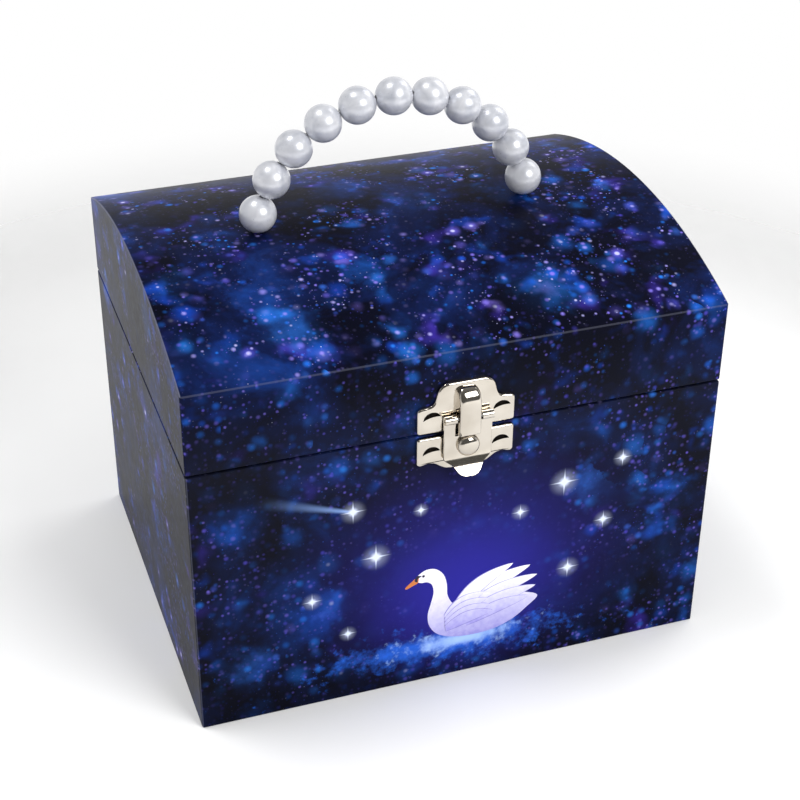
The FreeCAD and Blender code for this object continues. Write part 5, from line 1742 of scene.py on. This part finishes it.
@dataclass
class Dancer:
    """Small moulded dancer on one toe, arms rounded over the head, in a net skirt."""

    x: float = 0.0
    y: float = 30.0
    skirt_radius: float = 18.8
    skirt_hole: float = 3.0
    skirt_z: float = 75.2
    skirt_lifts: tuple[float, ...] = (-0.75, 0.0, 0.75)
    skirt_pleats: tuple[int, ...] = (26, 29, 32)
    skirt_step: float = 0.9
    skirt_cuts: tuple[Flat, ...] = ((16.0, 100.0), (15.0, 98.0), (14.0, 96.0))

    def build(self) -> None:
        """Build the figure, its paint and its skirt."""
        self.skin()
        self.clothes()
        self.head_dress()
        self.skirt()

    def at(self, *stations: tuple[float, float, float, float]) -> list[tuple[float, float, float, float]]:
        """Move stations from the figure's own axis to its place."""
        return [(x + self.x, y + self.y, z, r) for x, y, z, r in stations]

    def skin(self) -> None:
        """Legs, torso, neck, arms and head in one moulding."""
        bm = bmesh.new()
        limb(bm, self.at((0, 0, 53.5, 0.62), (0, 0, 55.2, 0.80), (0, 0.1, 57.6, 0.86), (0, 0.35, 62.4, 1.45),
                         (0, 0.05, 66.6, 1.18), (0.25, 0, 71.0, 1.72), (0.9, 0, 75.8, 2.1)))
        limb(bm, self.at((-0.9, 0, 75.8, 2.0), (-3.3, -1.1, 72.4, 1.65), (-5.6, -1.9, 68.6, 1.12),
                         (-3.6, -1.75, 66.4, 1.25), (-1.5, -1.55, 65.4, 0.82), (0.1, -1.5, 64.9, 0.5)))
        oval_stack(bm, [(74.6, 2.9, 2.1, 0.0), (76.4, 2.7, 2.0, 0.05), (78.6, 2.0, 1.6, 0.1),
                        (81.0, 2.5, 1.9, 0.25), (83.2, 2.9, 2.15, 0.4), (85.2, 3.2, 1.75, 0.1),
                        (86.4, 2.4, 1.35, 0.0), (87.3, 1.1, 1.05, 0.0)], (self.x, self.y))
        limb(bm, self.at((0, 0.1, 86.6, 1.15), (0, 0.05, 88.2, 0.95), (0, -0.05, 90.2, 1.0)))
        for side in (-1, 1):
            limb(bm, self.at((side * 2.9, 0, 85.5, 1.05), (side * 5.2, -0.3, 87.6, 0.88),
                             (side * 6.9, -0.7, 91.2, 0.76), (side * 6.9, -1.0, 95.6, 0.68),
                             (side * 4.9, -1.1, 99.3, 0.55), (side * 2.6, -1.1, 101.2, 0.5),
                             (side * 0.7, -1.1, 101.7, 0.3)), parts=7)
        oval_stack(bm, [(89.3, 0.7, 0.8, 0.9), (89.8, 1.5, 1.6, 0.65), (90.9, 2.15, 2.4, 0.35),
                        (92.4, 2.5, 2.8, 0.15), (94.2, 2.55, 2.85, 0.05), (95.6, 2.1, 2.4, 0.0),
                        (96.4, 1.2, 1.5, 0.0), (96.65, 0.3, 0.4, 0.0)], (self.x, self.y))
        limb(bm, self.at((0, -2.55, 93.2, 0.22), (0, -2.98, 92.2, 0.36), (0, -2.72, 91.75, 0.3)), 12, 3)
        figure = mesh_object("dancer_moulding", bm, DOLL_SKIN, 75)
        place_piece(figure, "dancer", "doll_plastic", "dancer_figure")

    def clothes(self) -> None:
        """Painted bodice, straps and slippers, a hair's breadth proud of the skin."""
        bm = bmesh.new()
        oval_stack(bm, [(75.0, 3.05, 2.25, 0.0), (76.4, 2.85, 2.15, 0.05), (78.6, 2.15, 1.75, 0.1),
                        (81.0, 2.65, 2.05, 0.25), (83.0, 3.02, 2.28, 0.4), (84.1, 3.06, 2.12, 0.3),
                        (84.2, 2.6, 1.7, 0.25)], (self.x, self.y))
        for side in (-1, 1):
            limb(bm, self.at((side * 1.9, -1.95, 83.6, 0.28), (side * 2.2, -1.2, 85.8, 0.26),
                             (side * 2.1, 0.2, 86.25, 0.26), (side * 1.9, 1.6, 84.0, 0.28)), 8, 5)
        bodice = mesh_object("dancer_bodice", bm, DOLL_BODICE, 50)
        place_piece(bodice, "dancer", "doll_plastic")
        bm = bmesh.new()
        limb(bm, self.at((0, 0, 53.42, 0.66), (0, -0.05, 54.4, 0.88), (0, 0, 55.6, 0.94),
                         (0, 0.05, 56.6, 0.92)))
        limb(bm, self.at((0.15, -1.5, 64.85, 0.55), (-0.6, -1.53, 65.1, 0.8), (-1.5, -1.56, 65.4, 0.93)))
        for z in (57.6, 58.6):
            turned(bm, [(0.84, -0.16), (1.02, -0.1), (1.02, 0.1), (0.84, 0.16)], (self.x, self.y + 0.12, z),
                   Vector((0.25, 0, 1)), 20)
        slippers = mesh_object("dancer_slippers", bm, DOLL_SHOE, 50)
        place_piece(slippers, "dancer", "doll_plastic")

    def head_dress(self) -> None:
        """Painted hair with a bun, and a plain pad-printed face."""
        bm = bmesh.new()
        oval_stack(bm, [(91.0, 2.25, 1.9, -0.85), (92.2, 2.68, 2.4, -0.62), (93.6, 2.78, 2.72, -0.42),
                        (94.9, 2.62, 2.72, -0.22), (96.0, 2.1, 2.3, -0.05), (96.8, 1.1, 1.3, 0.0),
                        (97.0, 0.3, 0.3, 0.0)], (self.x, self.y))
        oval_stack(bm, [(95.9, 0.9, 0.9, -0.9), (96.4, 1.5, 1.5, -0.95), (97.3, 1.75, 1.75, -1.0),
                        (98.2, 1.45, 1.45, -1.0), (98.7, 0.5, 0.5, -1.0)], (self.x, self.y))
        hair = mesh_object("dancer_hair", bm, DOLL_HAIR, 60)
        place_piece(hair, "dancer", "doll_plastic")
        bm = bmesh.new()
        for side in (-1, 1):
            turned(bm, [(0.02, 0.0), (0.34, 0.02), (0.36, -0.1), (0.1, -0.25)],
                   (self.x + side * 0.95, self.y - 2.72, 93.15), Vector((side * 0.32, -1, 0.02)), 16)
            limb(bm, self.at((side * 0.55, -2.72, 94.02, 0.07), (side * 1.0, -2.66, 94.16, 0.1),
                             (side * 1.45, -2.45, 94.0, 0.06)), 8, 3)
        eyes = mesh_object("dancer_eyes", bm, DOLL_INK, 60)
        place_piece(eyes, "dancer", "doll_plastic")
        bm = bmesh.new()
        limb(bm, self.at((-0.5, -2.62, 90.98, 0.08), (0, -2.76, 90.92, 0.2), (0.5, -2.62, 90.98, 0.08)), 10,
             4)
        lips = mesh_object("dancer_lips", bm, DOLL_LIP, 60)
        place_piece(lips, "dancer", "doll_plastic")

    def skirt(self) -> None:
        """Three gathered layers of net, each a strip drawn up at the waist."""
        for layer, (lift, pleats) in enumerate(zip(self.skirt_lifts, self.skirt_pleats)):
            reach = self.skirt_radius - self.skirt_step * layer
            around, out = pleats * 10, 22
            bm = bmesh.new()
            rows = []
            for j in range(out + 1):
                share = j / out
                radius = self.skirt_hole + (reach - self.skirt_hole) * share
                row = []
                for i in range(around):
                    angle = math.tau * i / around
                    swing = math.sin(pleats * angle + 0.7 * layer)
                    swing += 0.35 * math.sin(2.7 * pleats * angle / 2 + layer)
                    height = self.skirt_z + lift * (0.35 + 0.65 * share)
                    height += 0.62 * share * swing - 0.5 * share ** 2
                    row.append(bm.verts.new(Vector((self.x + radius * math.cos(angle),
                                                    self.y + radius * math.sin(angle), height)) * MM))
                rows.append(row)
            for low, high in zip(rows, rows[1:]):
                for i in range(around):
                    k = (i + 1) % around
                    bm.faces.new((low[i], low[k], high[k], high[i]))
            net = mesh_object(f"tutu_layer_{layer}", bm, TULLE, 180)
            nodes = ("dancer_tutu",) if layer == 1 else ()
            place_piece(net, "dancer", "tulle", *nodes)
            wide, long = self.skirt_cuts[layer]


@dataclass(frozen=True)
class Softbox:
    """A square soft light: where it hangs and its side, both in metres, and its power."""

    name: str
    spot: Point
    side: float
    watts: float

    def hang(self, aim: Vector) -> None:
        """Hang the light so that it faces a point.

        Args:
            aim: The point, in metres.
        """
        light = bpy.data.lights.new(self.name, "AREA")
        light.size = self.side
        light.energy = self.watts
        lamp = bpy.data.objects.new(self.name, light)
        lamp.location = self.spot
        lamp.rotation_euler = (aim - Vector(self.spot)).to_track_quat("-Z", "Y").to_euler()
        bpy.context.scene.collection.objects.link(lamp)


@dataclass
class Studio:
    """Floor, light and camera."""

    eye: Point = (-157.8, -462.5, 371.5)
    azimuth_deg: float = -19.14
    elevation_deg: float = 32.27
    roll_deg: float = 0.457
    lens: float = 79.4
    world_level: float = 0.6
    backdrop: float = 0.8
    overhead: float = 0.22
    room: float = 0.12
    sweep_ends: Flat = (0.28, 0.60)
    room_ends: Flat = (-0.60, 0.0)
    floor_half: float = 4000.0
    floor_levels: Flat = (-3.0, -0.1)
    aim: Point = (0.0, 0.0, 0.07)
    lights: tuple[Softbox, ...] = (
        Softbox("key_light", (0.73, -1.36, 1.16), 0.92, 22.0),
        Softbox("fill_light", (-0.54, 0.20, 1.82), 0.48, 11.5),
        Softbox("back_light", (1.45, 0.68, 1.31), 1.02, 7.2),
    )

    def build(self) -> None:
        """Lay the floor, hang the lights and set the camera."""
        self.floor()
        self.world()
        for light in self.lights:
            light.hang(Vector(self.aim))
        self.camera()

    def floor(self) -> None:
        """Plain pale floor that keeps a shadow."""
        bm = bmesh.new()
        far = self.floor_half
        loft(bm, [[(-far, -far, z), (far, -far, z), (far, far, z), (-far, far, z)]
                  for z in self.floor_levels])
        mesh_object("studio_floor", bm, FLOOR_BOARD)

    def world(self) -> None:
        """White surround: full white to the camera, metal and glass, softer as light."""
        world = bpy.data.worlds.new("studio_surround")
        bpy.context.scene.world = world
        world.use_nodes = True
        tree = world.node_tree
        path = add_node(tree, "LightPath")
        seen = add_node(tree, "Math", {0: path.outputs["Is Camera Ray"], 1: path.outputs["Is Glossy Ray"]},
                        operation="ADD")
        clear = add_node(tree, "Math", {0: seen, 1: path.outputs["Is Transmission Ray"]}, operation="ADD",
                         use_clamp=True)
        # The white sweep stands behind the box and ends overhead. Gloss sees it, and the dim room in front.
        way = add_node(tree, "TexCoord")
        parts = add_node(tree, "SeparateXYZ", {"Vector": way.outputs["Generated"]})
        sweep = add_node(tree, "MapRange", {"Value": parts.outputs["Z"], "From Min": self.sweep_ends[0],
                                            "From Max": self.sweep_ends[1], "To Min": self.backdrop,
                                            "To Max": self.overhead}, interpolation_type="SMOOTHSTEP")
        room = add_node(tree, "MapRange", {"Value": parts.outputs["Y"], "From Min": self.room_ends[0],
                                           "From Max": self.room_ends[1], "To Min": self.room,
                                           "To Max": sweep}, interpolation_type="SMOOTHSTEP")
        white = add_node(tree, "Math", {0: room, 1: path.outputs["Is Camera Ray"]}, operation="MAXIMUM")
        level = add_node(tree, "MapRange", {"Value": clear, "To Min": self.world_level, "To Max": white})
        shade = tree.nodes["Background"]
        shade.inputs["Color"].default_value = (1.0, 1.0, 1.0, 1.0)
        tree.links.new(level.outputs["Result"], shade.inputs["Strength"])

    def camera(self) -> None:
        """Camera at the photograph's viewing angle."""
        data = bpy.data.cameras.new("photo_camera")
        data.lens = self.lens
        data.sensor_width = 36.0
        data.clip_start = 0.01
        data.clip_end = 20.0
        camera = bpy.data.objects.new("photo_camera", data)
        turn, lift = math.radians(self.azimuth_deg), math.radians(self.elevation_deg)
        ahead = Vector((-math.sin(turn) * math.cos(lift), math.cos(turn) * math.cos(lift), -math.sin(lift)))
        aim = ahead.to_track_quat("-Z", "Y").to_matrix()
        roll = Matrix.Rotation(math.radians(self.roll_deg), 3, "Z")
        camera.matrix_world = Matrix.Translation(Vector(self.eye) * MM) @ (aim @ roll).to_4x4()
        bpy.context.scene.collection.objects.link(camera)
        bpy.context.scene.camera = camera


def dress_solids() -> None:
    """Give each carried-over solid the finish of its slot."""
    for part in frame["record"]["subparts"]:
        obj = frame["nodes"][part["node"]]
        obj.data.materials.clear()
        obj.data.materials.append(SLOT_FINISH[part["material_slot"]].make())


def main() -> None:
    """Build the pieces in order, then the studio."""
    logging.basicConfig(level=logging.INFO, format="%(name)s %(message)s")
    dress_solids()
    for part in (PaperCase(), FrontMotif(), BeadHandle(), HaspLatch(), JewelWell(), Dancer(), Studio()):
        LOG.info("build %s", type(part).__name__)
        part.build()
    bpy.context.scene.view_settings.view_transform = "Standard"


if __name__ == "__main__":
    main()
